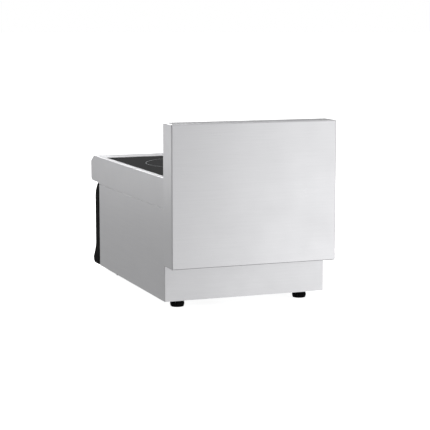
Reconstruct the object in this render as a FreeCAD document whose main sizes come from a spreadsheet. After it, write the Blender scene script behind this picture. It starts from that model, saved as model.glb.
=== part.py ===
"""Countertop glass-top cooking unit with a tall rear splash box.

Frame: millimetres, +Z up, the front faces -Y and +X is the right-hand side seen from the front.
The origin is the middle of the unit's outline on the surface that it stands on.
"""
import FreeCAD, Part
import math
import os
import re
import Sketcher

DIMENSIONS = [
    # outline
    ("splash_half", 225, "half width of the rear splash box"),
    ("body_half", 222.4, "half width of the body"),
    ("back_y", 303, "back plane of the body"),
    ("splash_back_y", 370, "back plane of the splash box"),
    ("panel_front_y", -292, "front edge of the side panels"),
    ("body_low_z", 22, "underside of the body"),
    ("seam_z", 261.6, "lower edge of the hob top's skirt"),
    ("top_z", 340.3, "hob top"),
    ("splash_low_z", 114.8, "underside of the splash box"),
    ("splash_top_z", 480.6, "top of the splash box"),
    # sheet metal
    ("sheet", 1.2, "thickness of the panels"),
    ("top_sheet", 2, "thickness of the hob top"),
    ("gap", 0.2, "assembly gap between neighbouring pieces"),
    ("seam_gap", 0.6, "open seam under the hob top's skirt"),
    ("tray_depth", 18, "upstand of the base plate"),
    ("flange", 20, "return flange of the side panels"),
    # rolled front edge of the hob top
    ("nose_y", -370, "front face of the rolled edge"),
    ("nose_top_y", -339, "where the flat top ends"),
    ("nose_top_drop", 16.3, "fall of the slope from the top to the shoulder"),
    ("nose_shoulder_y", -368.6, "shoulder of the rolled edge"),
    ("nose_low_z", 265, "underside of the rolled edge"),
    ("nose_chin", 10, "depth of the chamfer under the rolled edge"),
    ("nose_chin_rise", 6, "height of that chamfer"),
    # glass
    ("glass_half", 205, "half width of the glass"),
    ("glass_front_y", -254, "front edge of the glass"),
    ("glass_back_y", 270, "back edge of the glass"),
    ("glass_thick", 6, "thickness of the glass"),
    ("glass_drop", 0.5, "glass below the hob top"),
    ("glass_corner", 5, "corner radius of the glass"),
    ("seal_width", 3, "silicone joint round the glass"),
    ("ledge", 15, "glass ledge of the support frame"),
    ("zone_y", -37, "centre of the cooking zone"),
    # fascia
    ("fascia_y", -325.7, "front face of the fascia"),
    ("fascia_top_z", 264, "top of the fascia"),
    ("fascia_low_z", 23, "bottom of the fascia"),
    ("lip_y", -353, "foremost line of the flared lip"),
    ("lip_z", 37, "height of that line"),
    ("flare_z", 77, "where the flare starts"),
    ("fascia_sheet", 1.5, "thickness of the fascia"),
    ("cap_width", 14, "width of an end cap"),
    # control
    ("knob_z", 148, "height of the knob's axis"),
    ("knob_rad", 31, "radius of the knob"),
    ("knob_length", 26, "length of the knob"),
    ("dial_rad", 45, "radius of the dial ring"),
    ("dial_thick", 2, "thickness of the dial ring"),
    ("shaft_rad", 3, "radius of the switch shaft"),
    ("running_gap", 0.05, "radial clearance of a running fit"),
    ("lamp_x", 26, "sideways place of the lamps"),
    ("lamp_z", 222, "height of the lamps"),
    ("lamp_rad", 5, "radius of a lamp's barrel"),
    # feet
    ("foot_x", 173, "sideways place of the feet"),
    ("rear_foot_y", 258, "rear feet"),
    ("front_foot_y", -225, "front feet"),
    ("foot_rad", 18.7, "widest radius of a foot pad"),
    ("foot_neck_rad", 15.9, "radius of a foot pad's ends"),
    ("stud_rad", 5, "radius of a foot stud"),
    ("stud_low_z", 6, "lower end of a foot stud"),
    ("stud_top_z", 54, "upper end of a foot stud"),
    ("nut_height", 9, "height of a foot's weld nut"),
    ("nut_rad", 9.8, "radius across the corners of a foot's weld nut"),
    # air path
    ("fan_y", -170, "fan axis"),
    ("fan_half", 60, "half width of the fan frame"),
    ("fan_height", 38, "height of the fan frame"),
    ("fan_bore", 57, "air bore of the fan frame"),
    ("hub_rad", 21, "radius of the rotor's hub"),
    ("blade_rad", 55, "radius at the blade tips"),
    ("duct_top_z", 112, "top of the air duct"),
    ("duct_back_y", 125, "outlet end of the air duct"),
    ("exhaust_half", 70, "half width of the exhaust opening"),
    ("exhaust_low_z", 160, "lower edge of the exhaust opening"),
    ("exhaust_top_z", 235, "upper edge of the exhaust opening"),
    # grease filter
    ("filter_half", 111.5, "half width of the filter cassette"),
    ("filter_front_y", -298, "front edge of the cassette"),
    ("filter_back_y", -68, "back edge of the cassette"),
    ("filter_low_z", 7.6, "underside of the cassette"),
    ("filter_thick", 12, "thickness of the cassette"),
    ("filter_border", 9, "width of the cassette's border"),
    ("slide_gap", 0.5, "sliding clearance of the cassette"),
    ("tab_half", 28, "half width of the cassette's pull tab"),
    ("tab_depth", 24, "depth of the pull tab"),
    # mains entry
    ("pocket_x", 85, "centre of the cable pocket"),
    ("pocket_y", 240, "centre of the cable pocket"),
    ("pocket_half_x", 40, "half length of the cable pocket"),
    ("pocket_half_y", 45, "half depth of the cable pocket"),
    ("pocket_top_z", 80, "top of the cable pocket"),
    ("cable_rad", 7, "bore of the cable gland"),
    ("gland_thread_rad", 12.5, "thread of the cable gland"),
    ("earth_rad", 3, "radius of the bonding stud"),
    ("earth_x", 112, "place of the bonding stud"),
    ("earth_y", 272, "place of the bonding stud"),
    # boards and coil
    ("board_z", 35, "underside of the boards on the base plate"),
    ("board_thick", 1.6, "thickness of a circuit board"),
    ("coil_rad", 138, "outer radius of the induction coil"),
    ("coil_eye_rad", 26, "inner radius of the induction coil"),
    ("coil_z", 324.2, "underside of the induction coil"),
    ("coil_thick", 7, "thickness of the induction coil"),
    ("screw_rad", 2, "radius of a screw's shank"),
    ("screw_head_rad", 4, "radius of a screw's head"),
]

document = FreeCAD.newDocument("counter_cooking_unit")
sheet = document.addObject("Spreadsheet::Sheet", "dims")
for row, (alias, number, note) in enumerate(DIMENSIONS, start=1):
    sheet.set(f"A{row}", note)
    sheet.set(f"B{row}", str(number))
    sheet.setAlias(f"B{row}", alias)
document.recompute()

SUBPARTS = []


def bind(formula):
    """Point every name of a formula at its cell of the sheet."""
    return re.sub(r"[a-z]\w*", r"dims.\g<0>", str(formula))


def value(formula):
    """The number that a formula gives now."""
    return float(sheet.evalExpression(bind(formula)))


def keep(shape, label):
    """Name a finished sub-part, which gives its file its name."""
    shape.Label = label
    SUBPARTS.append(shape)
    return shape


def move(shape, x="0", y="0", z="0", turn=None):
    """Bind an object's place to the sheet; turn is (axis, degrees)."""
    if turn:
        shape.Placement.Rotation = FreeCAD.Rotation(FreeCAD.Vector(*turn[0]), turn[1])
    for name, formula in zip("xyz", (x, y, z)):
        shape.setExpression(f"Placement.Base.{name}", bind(formula))
    return shape


def block(x, y, z):
    """A box between the formulas of its low and high faces."""
    shape = document.addObject("Part::Box", "block")
    for side, (low, high) in zip(("Length", "Width", "Height"), (x, y, z)):
        shape.setExpression(side, bind(f"({high}) - ({low})"))
    return move(shape, x[0], y[0], z[0])


def rod(radius, place, length, along="z"):
    """A cylinder that starts at place and runs along +X, +Y or +Z."""
    turns = {"x": ((0, 1, 0), 90), "y": ((1, 0, 0), -90), "z": None}
    shape = document.addObject("Part::Cylinder", "rod")
    shape.setExpression("Radius", bind(radius))
    shape.setExpression("Height", bind(length))
    return move(shape, *place, turn=turns[along])


def nut(radius, place, height):
    """A hexagonal prism; radius is measured across its corners."""
    shape = document.addObject("Part::Prism", "nut")
    shape.Polygon = 6
    shape.setExpression("Circumradius", bind(radius))
    shape.setExpression("Height", bind(height))
    return move(shape, *place)


def join(*shapes):
    """One solid from several that meet."""
    fusion = document.addObject("Part::MultiFuse", "join")
    fusion.Shapes = list(shapes)
    return fusion


def group(*shapes):
    """Separate solids that share a node."""
    compound = document.addObject("Part::Compound", "group")
    compound.Links = list(shapes)
    return compound


def cut(base, *tools):
    """The base with every tool taken away."""
    result = document.addObject("Part::Cut", "cut")
    result.Base = base
    result.Tool = tools[0] if len(tools) == 1 else group(*tools)
    return result


def mirror_x(shape):
    """The same piece on the other side of the unit."""
    result = document.addObject("Part::Mirroring", "mirror")
    result.Source = shape
    result.Normal = FreeCAD.Vector(1, 0, 0)
    return result


def sketch_outline(body, plane, outline):
    """Closed outline on an origin plane of the body, each corner bound to the sheet."""
    sketch = body.newObject("Sketcher::SketchObject", "outline")
    support = [item for item in body.Origin.OriginFeatures if item.Role == plane][0]
    sketch.AttachmentSupport = [(support, "")]
    sketch.MapMode = "FlatFace"
    corners = [FreeCAD.Vector(value(u), value(v), 0) for u, v in outline]
    count = len(corners)
    for index in range(count):
        sketch.addGeometry(Part.LineSegment(corners[index], corners[(index + 1) % count]), False)
    for index in range(count):
        sketch.addConstraint(Sketcher.Constraint("Coincident", index, 2, (index + 1) % count, 1))
    for index, (u, v) in enumerate(outline):
        for kind, formula in (("DistanceX", u), ("DistanceY", v)):
            datum = Sketcher.Constraint(kind, -1, 1, index, 1, value(formula))
            number = sketch.addConstraint(datum)
            sketch.setExpression(f"Constraints[{number}]", bind(formula))
    return sketch


def extruded(plane, outline, low, high):
    """A body whose outline is carried from low to high along the plane's normal."""
    body = document.addObject("PartDesign::Body", "body")
    pad = body.newObject("PartDesign::Pad", "pad")
    pad.Profile = sketch_outline(body, plane, outline)
    pad.setExpression("Length", bind(f"({high}) - ({low})"))
    body.Tip = pad
    if plane == "YZ_Plane":
        move(body, x=low)
    else:
        move(body, z=low)
    document.recompute()
    return body


def turned(outline):
    """A body of revolution about Z; the outline holds radius and height pairs."""
    body = document.addObject("PartDesign::Body", "body")
    revolution = body.newObject("PartDesign::Revolution", "revolution")
    sketch = sketch_outline(body, "XZ_Plane", outline)
    revolution.Profile = sketch
    revolution.ReferenceAxis = (sketch, ["V_Axis"])
    revolution.Angle = 360
    body.Tip = revolution
    document.recompute()
    return body


def round_edges(body, radius, chosen):
    """Fillet the edges of the body for which chosen(edge) holds, at the body's own place."""
    base = body.Tip
    placed = base.Shape.copy()
    placed.Placement = body.Placement * placed.Placement
    names = [f"Edge{index}" for index, edge in enumerate(placed.Edges, start=1) if chosen(edge)]
    fillet = body.newObject("PartDesign::Fillet", "fillet")
    fillet.Base = (base, names)
    fillet.Radius = radius
    body.Tip = fillet
    document.recompute()
    return body


def runs_along(edge, axis):
    """True for a straight edge along one axis, 0 for X to 2 for Z."""
    box = edge.BoundBox
    spans = (box.XLength, box.YLength, box.ZLength)
    return all((span > 0.5) == (index == axis) for index, span in enumerate(spans))


def plate(x, y, z, corner):
    """A flat plate with rounded corners."""
    outline = [(x[0], y[0]), (x[1], y[0]), (x[1], y[1]), (x[0], y[1])]
    body = extruded("XY_Plane", outline, *z)
    return round_edges(body, corner, lambda edge: runs_along(edge, 2))


# ---------------------------------------------------------------- shared places
PANEL_IN = "body_half - sheet"
FLOOR_Z = "body_low_z + sheet"
SPLASH_IN_Y = "back_y + gap + sheet"
FOOT_PLACES = {
    "front_left": ("-foot_x", "front_foot_y"), "front_right": ("foot_x", "front_foot_y"),
    "rear_left": ("-foot_x", "rear_foot_y"), "rear_right": ("foot_x", "rear_foot_y"),
}
SPLASH_SCREW_PLACES = [("-180", "140"), ("-180", "245"), ("180", "140"), ("180", "245")]
RAIL_SCREW_XS = ("-filter_half - slide_gap - 8", "filter_half + slide_gap + 8")
RAIL_SCREW_YS = ("filter_front_y + 30", "filter_back_y - 30")
POCKET_SCREW_PLACES = [(x, y) for x in ("pocket_x - pocket_half_x - 5", "pocket_x + pocket_half_x + 5")
                       for y in ("pocket_y - 30", "pocket_y + 30")]
BASE_SCREW_PLACES = POCKET_SCREW_PLACES + [(x, y) for x in RAIL_SCREW_XS for y in RAIL_SCREW_YS]


# ---------------------------------------------------------------- body panels


def make_base_plate():
    """Shallow tray with openings for the fan, the cable pocket, the studs and the screws."""
    half = f"({PANEL_IN} - gap)"
    front = "panel_front_y + sheet + gap"
    back = "back_y - sheet - gap"
    low = "body_low_z"
    blank = block((f"-{half}", half), (front, back), (low, f"{low} + tray_depth"))
    inside = block((f"-{half} + sheet", f"{half} - sheet"), (f"{front} + sheet", f"{back} - sheet"),
                   (f"{low} + sheet", f"{low} + tray_depth + 1"))
    fan_hole = rod("fan_bore - 1", ("0", "fan_y", f"{low} - 1"), "sheet + 2")
    pocket_hole = block(("pocket_x - pocket_half_x", "pocket_x + pocket_half_x"),
                        ("pocket_y - pocket_half_y", "pocket_y + pocket_half_y"),
                        (f"{low} - 1", f"{low} + 2"))
    studs = [rod("stud_rad + 0.8", (x, y, f"{low} - 1"), "sheet + 2") for x, y in FOOT_PLACES.values()]
    screws = [rod("screw_rad + 0.1", (x, y, f"{low} - 1"), "sheet + 2") for x, y in BASE_SCREW_PLACES]
    keep(cut(blank, inside, fan_hole, pocket_hole, *studs, *screws), "base_plate")


def make_side_panel():
    """Outer skin with a return flange at its front and top edges."""
    z = ("body_low_z", "seam_z - seam_gap")
    skin = block((PANEL_IN, "body_half"), ("panel_front_y", "back_y"), z)
    front = block((f"{PANEL_IN} - flange", PANEL_IN), ("panel_front_y", "panel_front_y + sheet"), z)
    top = block((f"{PANEL_IN} - flange", PANEL_IN), ("panel_front_y", "back_y - 2 * sheet - gap"),
                (f"{z[1]} - sheet", z[1]))
    panel = join(skin, front, top)
    keep(panel, "side_panel_right")
    keep(mirror_x(panel), "side_panel_left")


def splash_screw_holes(radius, y, length):
    """Clearance holes for the screws that hold the splash box."""
    return [rod(radius, (x, y, z), length, "y") for x, z in SPLASH_SCREW_PLACES]


def make_back_panel():
    """Flat lower back skin between the side panels, with the exhaust opening."""
    half = f"({PANEL_IN} - gap)"
    z = ("body_low_z", "seam_z - seam_gap")
    skin = block((f"-{half}", half), ("back_y - sheet", "back_y"), z)
    opening = block(("-exhaust_half", "exhaust_half"), ("back_y - sheet - 1", "back_y + 1"),
                    ("exhaust_low_z", "exhaust_top_z"))
    holes = splash_screw_holes("screw_rad + 0.1", "back_y - sheet - 1", "sheet + 2")
    keep(cut(skin, opening, *holes), "back_panel")


def make_mid_deck():
    """Sheet between the electronics and the coil space, resting on the side panels."""
    z = ("seam_z - seam_gap", "seam_z - seam_gap + sheet")
    deck = block(("-body_half + top_sheet + 0.6", "body_half - top_sheet - 0.6"),
                 ("panel_front_y + top_sheet + 0.4", "back_y - top_sheet - 0.4"), z)
    cable_hole = rod("20", ("120", "120", "seam_z - 3"), "6")
    keep(cut(deck, cable_hole), "mid_deck")


def make_front_cross_rail():
    """Channel between the side panels that stiffens the front."""
    half = f"({PANEL_IN} - flange - gap)"
    z = ("seam_z - 36", "seam_z - 2.4")
    y = ("panel_front_y + 2", "panel_front_y + 30")
    outside = block((f"-{half}", half), y, z)
    inside = block((f"-{half} - 1", f"{half} + 1"), (f"{y[0]} + sheet", f"{y[1]} + 1"),
                   (f"{z[0]} + sheet", f"{z[1]} - sheet"))
    keep(cut(outside, inside), "front_cross_rail")


# ---------------------------------------------------------------- hob top and glass
def make_hob_top():
    """Pressed top with skirts all round, a rolled front edge and the glass cut-out."""
    slope_z = "top_z - nose_top_drop"
    chin_z = "nose_low_z + nose_chin_rise"
    outside = extruded("YZ_Plane", [
        ("back_y", "seam_z"), ("back_y", "top_z"), ("nose_top_y", "top_z"),
        ("nose_shoulder_y", slope_z), ("nose_y", f"{slope_z} - 5"), ("nose_y", chin_z),
        ("nose_y + nose_chin", "nose_low_z"), ("panel_front_y", "nose_low_z"), ("panel_front_y", "seam_z"),
    ], "-body_half", "body_half")
    shoulder, chin = value(slope_z), value("nose_low_z")

    def on_nose(edge, y, z):
        at_y = abs(edge.BoundBox.YMin - value(y)) < 0.1
        return runs_along(edge, 0) and at_y and abs(edge.BoundBox.ZMin - z) < 0.1

    round_edges(outside, 14, lambda edge: on_nose(edge, "nose_top_y", value("top_z")))
    round_edges(outside, 7, lambda edge: on_nose(edge, "nose_shoulder_y", shoulder))
    round_edges(outside, 3, lambda edge: on_nose(edge, "nose_y + nose_chin", chin))
    far = value("body_half") - 0.1

    def on_rim(edge):
        box = edge.BoundBox
        at_side = box.XLength < 0.1 and abs(box.XMax) > far
        above_chin = box.ZMin > chin + 10 and box.YMax < value("back_y") + 0.1
        return at_side and above_chin and not runs_along(edge, 2)

    round_edges(outside, 3.5, on_rim)
    wall = "top_sheet"
    inside = extruded("YZ_Plane", [
        (f"back_y - {wall}", "seam_z - 8"), (f"back_y - {wall}", f"top_z - {wall}"),
        ("nose_top_y + 0.6", f"top_z - {wall}"), (f"nose_shoulder_y + {wall}", f"{slope_z} - 1"),
        (f"nose_y + {wall}", f"{slope_z} - 5"), (f"nose_y + {wall}", f"{chin_z} + 1"),
        (f"nose_y + nose_chin + 0.6", f"nose_low_z + {wall}"),
        (f"panel_front_y + {wall}", f"nose_low_z + {wall}"), (f"panel_front_y + {wall}", "seam_z - 8"),
    ], f"-body_half + {wall}", f"body_half - {wall}")
    opening = plate(("-glass_half - seal_width", "glass_half + seal_width"),
                    ("glass_front_y - seal_width", "glass_back_y + seal_width"),
                    (f"top_z - {wall} - 2", "top_z + 2"), value("glass_corner + seal_width"))
    keep(cut(outside, inside, opening), "hob_top")


def glass_ring(grow, z, corner):
    """Plate of the glass's outline grown by a border."""
    return plate((f"-glass_half - ({grow})", f"glass_half + ({grow})"),
                 (f"glass_front_y - ({grow})", f"glass_back_y + ({grow})"), z, value(corner))


def make_glass():
    """Glass ceramic plate, the silicone joint round it and the frame that carries both."""
    low = "top_z - glass_drop - glass_thick"
    high = "top_z - glass_drop"
    glass = plate(("-glass_half", "glass_half"), ("glass_front_y", "glass_back_y"), (low, high),
                  value("glass_corner"))
    top = value(high)
    round_edges(glass, 0.8, lambda edge: edge.BoundBox.ZMin > top - 0.01)
    keep(glass, "glass_top")
    seal = cut(glass_ring("seal_width", (low, f"{high} + 0.2"), "glass_corner + seal_width"),
               glass_ring("0", (f"{low} - 1", f"{high} + 1"), "glass_corner"))
    keep(seal, "glass_seal")
    ledge_plate = glass_ring("seal_width + 8", (f"{low} - 1.5", low), "glass_corner + 8")
    upstand = cut(glass_ring("seal_width + 8", (low, "top_z - top_sheet"), "glass_corner + 8"),
                  glass_ring("seal_width + gap", (f"{low} - 1", "top_z"), "glass_corner + seal_width"))
    window = block(("-glass_half + ledge", "glass_half - ledge"),
                   ("glass_front_y + ledge", "glass_back_y - ledge"), (f"{low} - 3", f"{low} + 1"))
    keep(cut(join(ledge_plate, upstand), window), "glass_support_frame")


# ---------------------------------------------------------------- coil stack under the glass
def make_coil():
    """Coil, its carrier, ferrites, tray, posts, insulating sheet and sensor."""
    turns = 16
    pitch = f"(coil_rad - coil_eye_rad) / {turns}"
    high = "coil_z + coil_thick"
    comb = [("coil_eye_rad", "coil_z"), ("coil_rad", "coil_z")]
    for turn in range(turns, 0, -1):
        outer = f"coil_eye_rad + {pitch} * {turn}"
        crest = [(f"{outer} - {pitch} * {share}", high) for share in (0.25, 0.75)]
        comb += [(outer, f"{high} - 1.5"), *crest]
    comb.append(("coil_eye_rad", f"{high} - 1.5"))
    coil = turned(comb)
    keep(move(coil, y="zone_y"), "induction_coil")
    carrier = cut(rod("coil_rad + 4", ("0", "zone_y", "coil_z - 4.2"), "4"),
                  rod("coil_eye_rad - 8", ("0", "zone_y", "coil_z - 5"), "6"))
    keep(carrier, "coil_carrier")
    bars = []
    for index in range(8):
        bar = block(("40", "130"), ("-8", "8"), ("coil_z - 10.4", "coil_z - 4.4"))
        spoke = group(bar)
        bars.append(move(spoke, y="zone_y", turn=((0, 0, 1), 45 * index + 22.5)))
    keep(group(*bars), "ferrite_bars")
    tray = cut(block(("-150", "150"), ("zone_y - 150", "zone_y + 150"), ("coil_z - 12.2", "coil_z - 2.2")),
               block(("-148.8", "148.8"), ("zone_y - 148.8", "zone_y + 148.8"), ("coil_z - 10.7", "coil_z")))
    keep(tray, "coil_tray")
    deck_top = "seam_z - seam_gap + sheet"
    posts = [rod("5", (x, f"zone_y + {y}", deck_top), f"coil_z - 12.2 - ({deck_top})")
             for x in ("-130", "130") for y in ("-130", "130")]
    keep(group(*posts), "coil_tray_posts")
    mica = cut(rod("coil_rad + 6", ("0", "zone_y", f"{high} + gap"), "0.8"),
               rod("10", ("0", "zone_y", high), "3"))
    keep(mica, "mica_sheet")
    sensor = turned([("0", "coil_z"), ("6", "coil_z"), ("6", f"{high} - 3"), ("8.5", f"{high} - 2"),
                     ("8.5", f"{high} + 2"), ("0", f"{high} + 2")])
    keep(move(sensor, y="zone_y"), "temperature_sensor")


# ---------------------------------------------------------------- fascia and controls
FASCIA_OUTLINE = [
    ("panel_front_y - 6.5", "fascia_top_z"), ("fascia_y + 14.7", "fascia_top_z - 12"),
    ("fascia_y + 2.7", "fascia_top_z - 27"), ("fascia_y", "fascia_top_z - 40"), ("fascia_y", "flare_z"),
    ("fascia_y - 14.3", "lip_z + 16.5"), ("lip_y", "lip_z"), ("lip_y + 5", "lip_z - 9"),
    ("lip_y + 11", "fascia_low_z"),
]


def fascia_body(back_y, low, high):
    """The fascia's outline, closed at its back and carried from low to high along X."""
    outline = FASCIA_OUTLINE + [(back_y, "fascia_low_z"), (back_y, "fascia_top_z")]
    body = extruded("YZ_Plane", outline, low, high)
    front = value(back_y) - 3

    def on_front(edge):
        return runs_along(edge, 0) and edge.BoundBox.YMax < front

    return round_edges(body, 2.5, on_front)


def make_fascia():
    """Folded sheet fascia, open at its back, with the holes of the switch and the lamps."""
    half = "body_half - cap_width - 2 * gap"
    body = fascia_body("panel_front_y - 0.4", f"-({half})", half)
    solid = body.Tip
    back, edge_x = value("panel_front_y - 0.4"), value(half)
    opened = []
    for index, face in enumerate(solid.Shape.Faces, start=1):
        centre = face.CenterOfMass
        at_back = abs(centre.y - back) < 0.1
        at_end = abs(abs(centre.x + value(f"-({half})")) - edge_x) < 0.1 and face.BoundBox.XLength < 0.1
        if at_back or at_end:
            opened.append(f"Face{index}")
    shell = body.newObject("PartDesign::Thickness", "shell")
    shell.Base = (solid, opened)
    shell.setExpression("Value", bind("fascia_sheet"))
    shell.Reversed = True
    shell.Join = "Intersection"
    body.Tip = shell
    document.recompute()
    holes = [rod("shaft_rad + 2.6", ("0", "fascia_y - 2", "knob_z"), "6", "y")]
    holes += [rod("lamp_rad + 0.1", (x, "fascia_y - 2", "lamp_z"), "6", "y") for x in ("-lamp_x", "lamp_x")]
    keep(cut(body, *holes), "control_fascia")


def make_end_cap():
    """Moulded end of the fascia, lightened by a pocket on its inner side."""
    cap = fascia_body("panel_front_y - 0.4", "body_half - gap - cap_width", "body_half - gap")
    pocket = block(("body_half - gap - cap_width - 1", "body_half - gap - 3"),
                   ("fascia_y + 4", "panel_front_y - 4"), ("flare_z - 10", "fascia_top_z - 40"))
    end_cap = cut(cap, pocket)
    keep(end_cap, "fascia_end_cap_right")
    keep(mirror_x(end_cap), "fascia_end_cap_left")


KNOB_BACK = "fascia_y - gap - dial_thick - 1"


def make_knob():
    """Fluted knob with a pointer groove, on the shaft of the rotary switch."""
    knob = turned([("0", "0"), ("knob_rad", "0"), ("knob_rad", "4"), ("knob_rad - 3.5", "6.5"),
                   ("knob_rad - 5", "knob_length"), ("0", "knob_length")])
    high = value("knob_length")
    round_edges(knob, 1.5, lambda edge: edge.BoundBox.ZMin > high - 0.1)
    round_edges(knob, 1, lambda edge: 3 < edge.BoundBox.ZMin < 5 and edge.BoundBox.ZLength < 0.1)
    flutes = [rod("4", (f"(knob_rad - 2.2) * {math.cos(math.radians(angle)):.5f}",
                        f"(knob_rad - 2.2) * {math.sin(math.radians(angle)):.5f}", "7"), "knob_length")
              for angle in range(15, 360, 30)]
    bore = rod("shaft_rad", ("0", "0", "-1"), "19")
    groove = block(("-1.2", "1.2"), ("8", "knob_rad + 1"), ("knob_length - 1", "knob_length + 1"))
    body = cut(knob, bore, groove, *flutes)
    keep(move(group(body), y=KNOB_BACK, z="knob_z", turn=((1, 0, 0), 90)), "knob")
    shaft = rod("shaft_rad", ("0", "fascia_y - 20", "knob_z"), "36", "y")
    keep(shaft, "knob_shaft")


def make_controls():
    """Dial ring, rotary switch, lamps and the board behind the fascia."""
    ring = cut(rod("dial_rad", ("0", "fascia_y - gap - dial_thick", "knob_z"), "dial_thick", "y"),
               rod("shaft_rad + 3", ("0", "fascia_y - 5", "knob_z"), "8", "y"))
    keep(ring, "dial_ring")
    bush = rod("shaft_rad + 2.4", ("0", "fascia_y - gap - dial_thick", "knob_z"), "10", "y")
    case = block(("-15", "15"), ("fascia_y + 6", "fascia_y + 19"), ("knob_z - 15", "knob_z + 15"))
    bore = rod("shaft_rad + running_gap", ("0", "fascia_y - 5", "knob_z"), "21.5", "y")
    keep(cut(join(bush, case), bore), "rotary_switch")
    for name, x in (("power_lamp", "-lamp_x"), ("heating_lamp", "lamp_x")):
        lens = join(rod("lamp_rad + 2", (x, "fascia_y - 2.2", "lamp_z"), "2", "y"),
                    rod("lamp_rad", (x, "fascia_y - 1", "lamp_z"), "12", "y"))
        keep(lens, name)
    board = block(("-110", "110"), ("fascia_y + 19.2", "fascia_y + 19.2 + board_thick"), ("90", "240"))
    keep(board, "control_board")


# ---------------------------------------------------------------- rear splash box
def make_splash_box():
    """Folded rear cover, the front plate behind the hob, and the vented bottom plate."""
    blank = extruded("XY_Plane", [
        ("-splash_half", "back_y + gap"), ("splash_half", "back_y + gap"),
        ("splash_half", "splash_back_y"), ("-splash_half", "splash_back_y"),
    ], "splash_low_z", "splash_top_z")
    back, top = value("splash_back_y"), value("splash_top_z")

    def on_fold(edge):
        box = edge.BoundBox
        behind = runs_along(edge, 2) and box.YMin > back - 0.1
        above = box.ZMin > top - 0.1 and not (runs_along(edge, 0) and box.YMin < back - 1)
        return behind or above

    round_edges(blank, 1.8, on_fold)
    inside = block(("-splash_half + sheet", "splash_half - sheet"), ("back_y - 1", "splash_back_y - sheet"),
                   ("splash_low_z - 1", "splash_top_z - sheet"))
    keep(cut(blank, inside), "splash_rear_cover")
    half = "(splash_half - sheet - gap)"
    front = block((f"-{half}", half), ("back_y + gap", SPLASH_IN_Y),
                  ("splash_low_z", "splash_top_z - sheet - gap"))
    opening = block(("-exhaust_half", "exhaust_half"), ("back_y - 1", "back_y + 4"),
                    ("exhaust_low_z", "exhaust_top_z"))
    holes = splash_screw_holes("screw_rad + 0.1", "back_y - 1", "4")
    keep(cut(front, opening, *holes), "splash_front_plate")
    y = (f"{SPLASH_IN_Y} + gap", "splash_back_y - sheet - gap")
    bottom = block((f"-{half}", half), y, ("splash_low_z", "splash_low_z + sheet"))
    slots = [block((f"{x} - 6", f"{x} + 6"), (f"{y[0]} + 12", f"{y[1]} - 12"),
                   ("splash_low_z - 1", "splash_low_z + 3")) for x in range(-180, 181, 24)]
    keep(cut(bottom, *slots), "splash_vent_plate")


def make_splash_fixing():
    """Angle brackets inside the box, screwed to the back panel."""
    brackets = []
    for x in ("-180", "180"):
        foot = block((f"{x} - 14", f"{x} + 14"), (f"{SPLASH_IN_Y} + gap", f"{SPLASH_IN_Y} + gap + 2"),
                     ("splash_low_z + 10", "splash_low_z + 140"))
        web = block((f"{x} + 12", f"{x} + 14"), (f"{SPLASH_IN_Y} + gap", "splash_back_y - sheet - gap"),
                    ("splash_low_z + 10", "splash_low_z + 140"))
        holes = [rod("screw_rad + 0.1", (x, SPLASH_IN_Y, z), "4", "y") for _, z in SPLASH_SCREW_PLACES[:2]]
        brackets.append(cut(join(foot, web), *holes))
    keep(group(*brackets), "splash_brackets")


# ---------------------------------------------------------------- air path
def make_fan():
    """Axial fan: square frame with a spider, motor with its shaft, and a seven-bladed rotor."""
    low = f"{FLOOR_Z} + gap"
    high = f"{low} + fan_height"
    frame = block(("-fan_half", "fan_half"), ("fan_y - fan_half", "fan_y + fan_half"), (low, high))
    bore = rod("fan_bore", ("0", "fan_y", f"{low} - 1"), "fan_height + 2")
    housing = cut(frame, bore)
    arm_z = (f"{high} - 5", f"{high} - 1")
    arms = [block(("-fan_half + 1", "fan_half - 1"), ("fan_y - 2.5", "fan_y + 2.5"), arm_z),
            block(("-2.5", "2.5"), ("fan_y - fan_half + 1", "fan_y + fan_half - 1"), arm_z),
            rod("22", ("0", "fan_y", f"{high} - 6"), "5")]
    seat = rod("17", ("0", "fan_y", f"{high} - 8"), "10")
    keep(cut(join(housing, *arms), seat), "fan_frame")
    motor = join(rod("17", ("0", "fan_y", f"{high} - 6.5"), "6"),
                 rod("2", ("0", "fan_y", f"{low} + 6"), "28"))
    keep(motor, "fan_motor")
    rotor = document.addObject("PartDesign::Body", "body")
    blade = rotor.newObject("PartDesign::Pad", "blade")
    section = [("-13", "4"), ("-11.5", "3"), ("13", "22"), ("11.5", "23")]
    blade.Profile = sketch_outline(rotor, "YZ_Plane", section)
    blade.setExpression("Length", bind("blade_rad"))
    rotor.Tip = blade
    document.recompute()
    pattern = rotor.newObject("PartDesign::PolarPattern", "blades")
    pattern.Originals = [blade]
    pattern.Axis = ([item for item in rotor.Origin.OriginFeatures if item.Role == "Z_Axis"][0], [""])
    pattern.Angle = 360
    pattern.Occurrences = 7
    rotor.Tip = pattern
    document.recompute()
    move(rotor, y="fan_y", z=f"{low} + 2")
    hub = rod("hub_rad", ("0", "fan_y", f"{low} + 4"), "26")
    bore = rod("2 + running_gap", ("0", "fan_y", f"{low} + 5"), "30")
    tip_cut = cut(rod("fan_half * 2", ("0", "fan_y", low), "40"),
                  rod("blade_rad", ("0", "fan_y", f"{low} - 1"), "60"))
    keep(cut(join(rotor, hub), bore, tip_cut), "fan_rotor")


def make_air_duct():
    """Inverted channel that turns the fan's air back over the heat sink."""
    low = f"{FLOOR_Z} + fan_height + 1"
    outside = block(("-fan_half - 4", "fan_half + 4"), ("fan_y - fan_half - 4", "duct_back_y"),
                    (low, "duct_top_z"))
    inside = block(("-fan_half - 2.8", "fan_half + 2.8"), ("fan_y - fan_half - 2.8", "duct_back_y + 1"),
                   (f"{low} - 1", "duct_top_z - sheet"))
    keep(cut(outside, inside), "air_duct")


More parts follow.
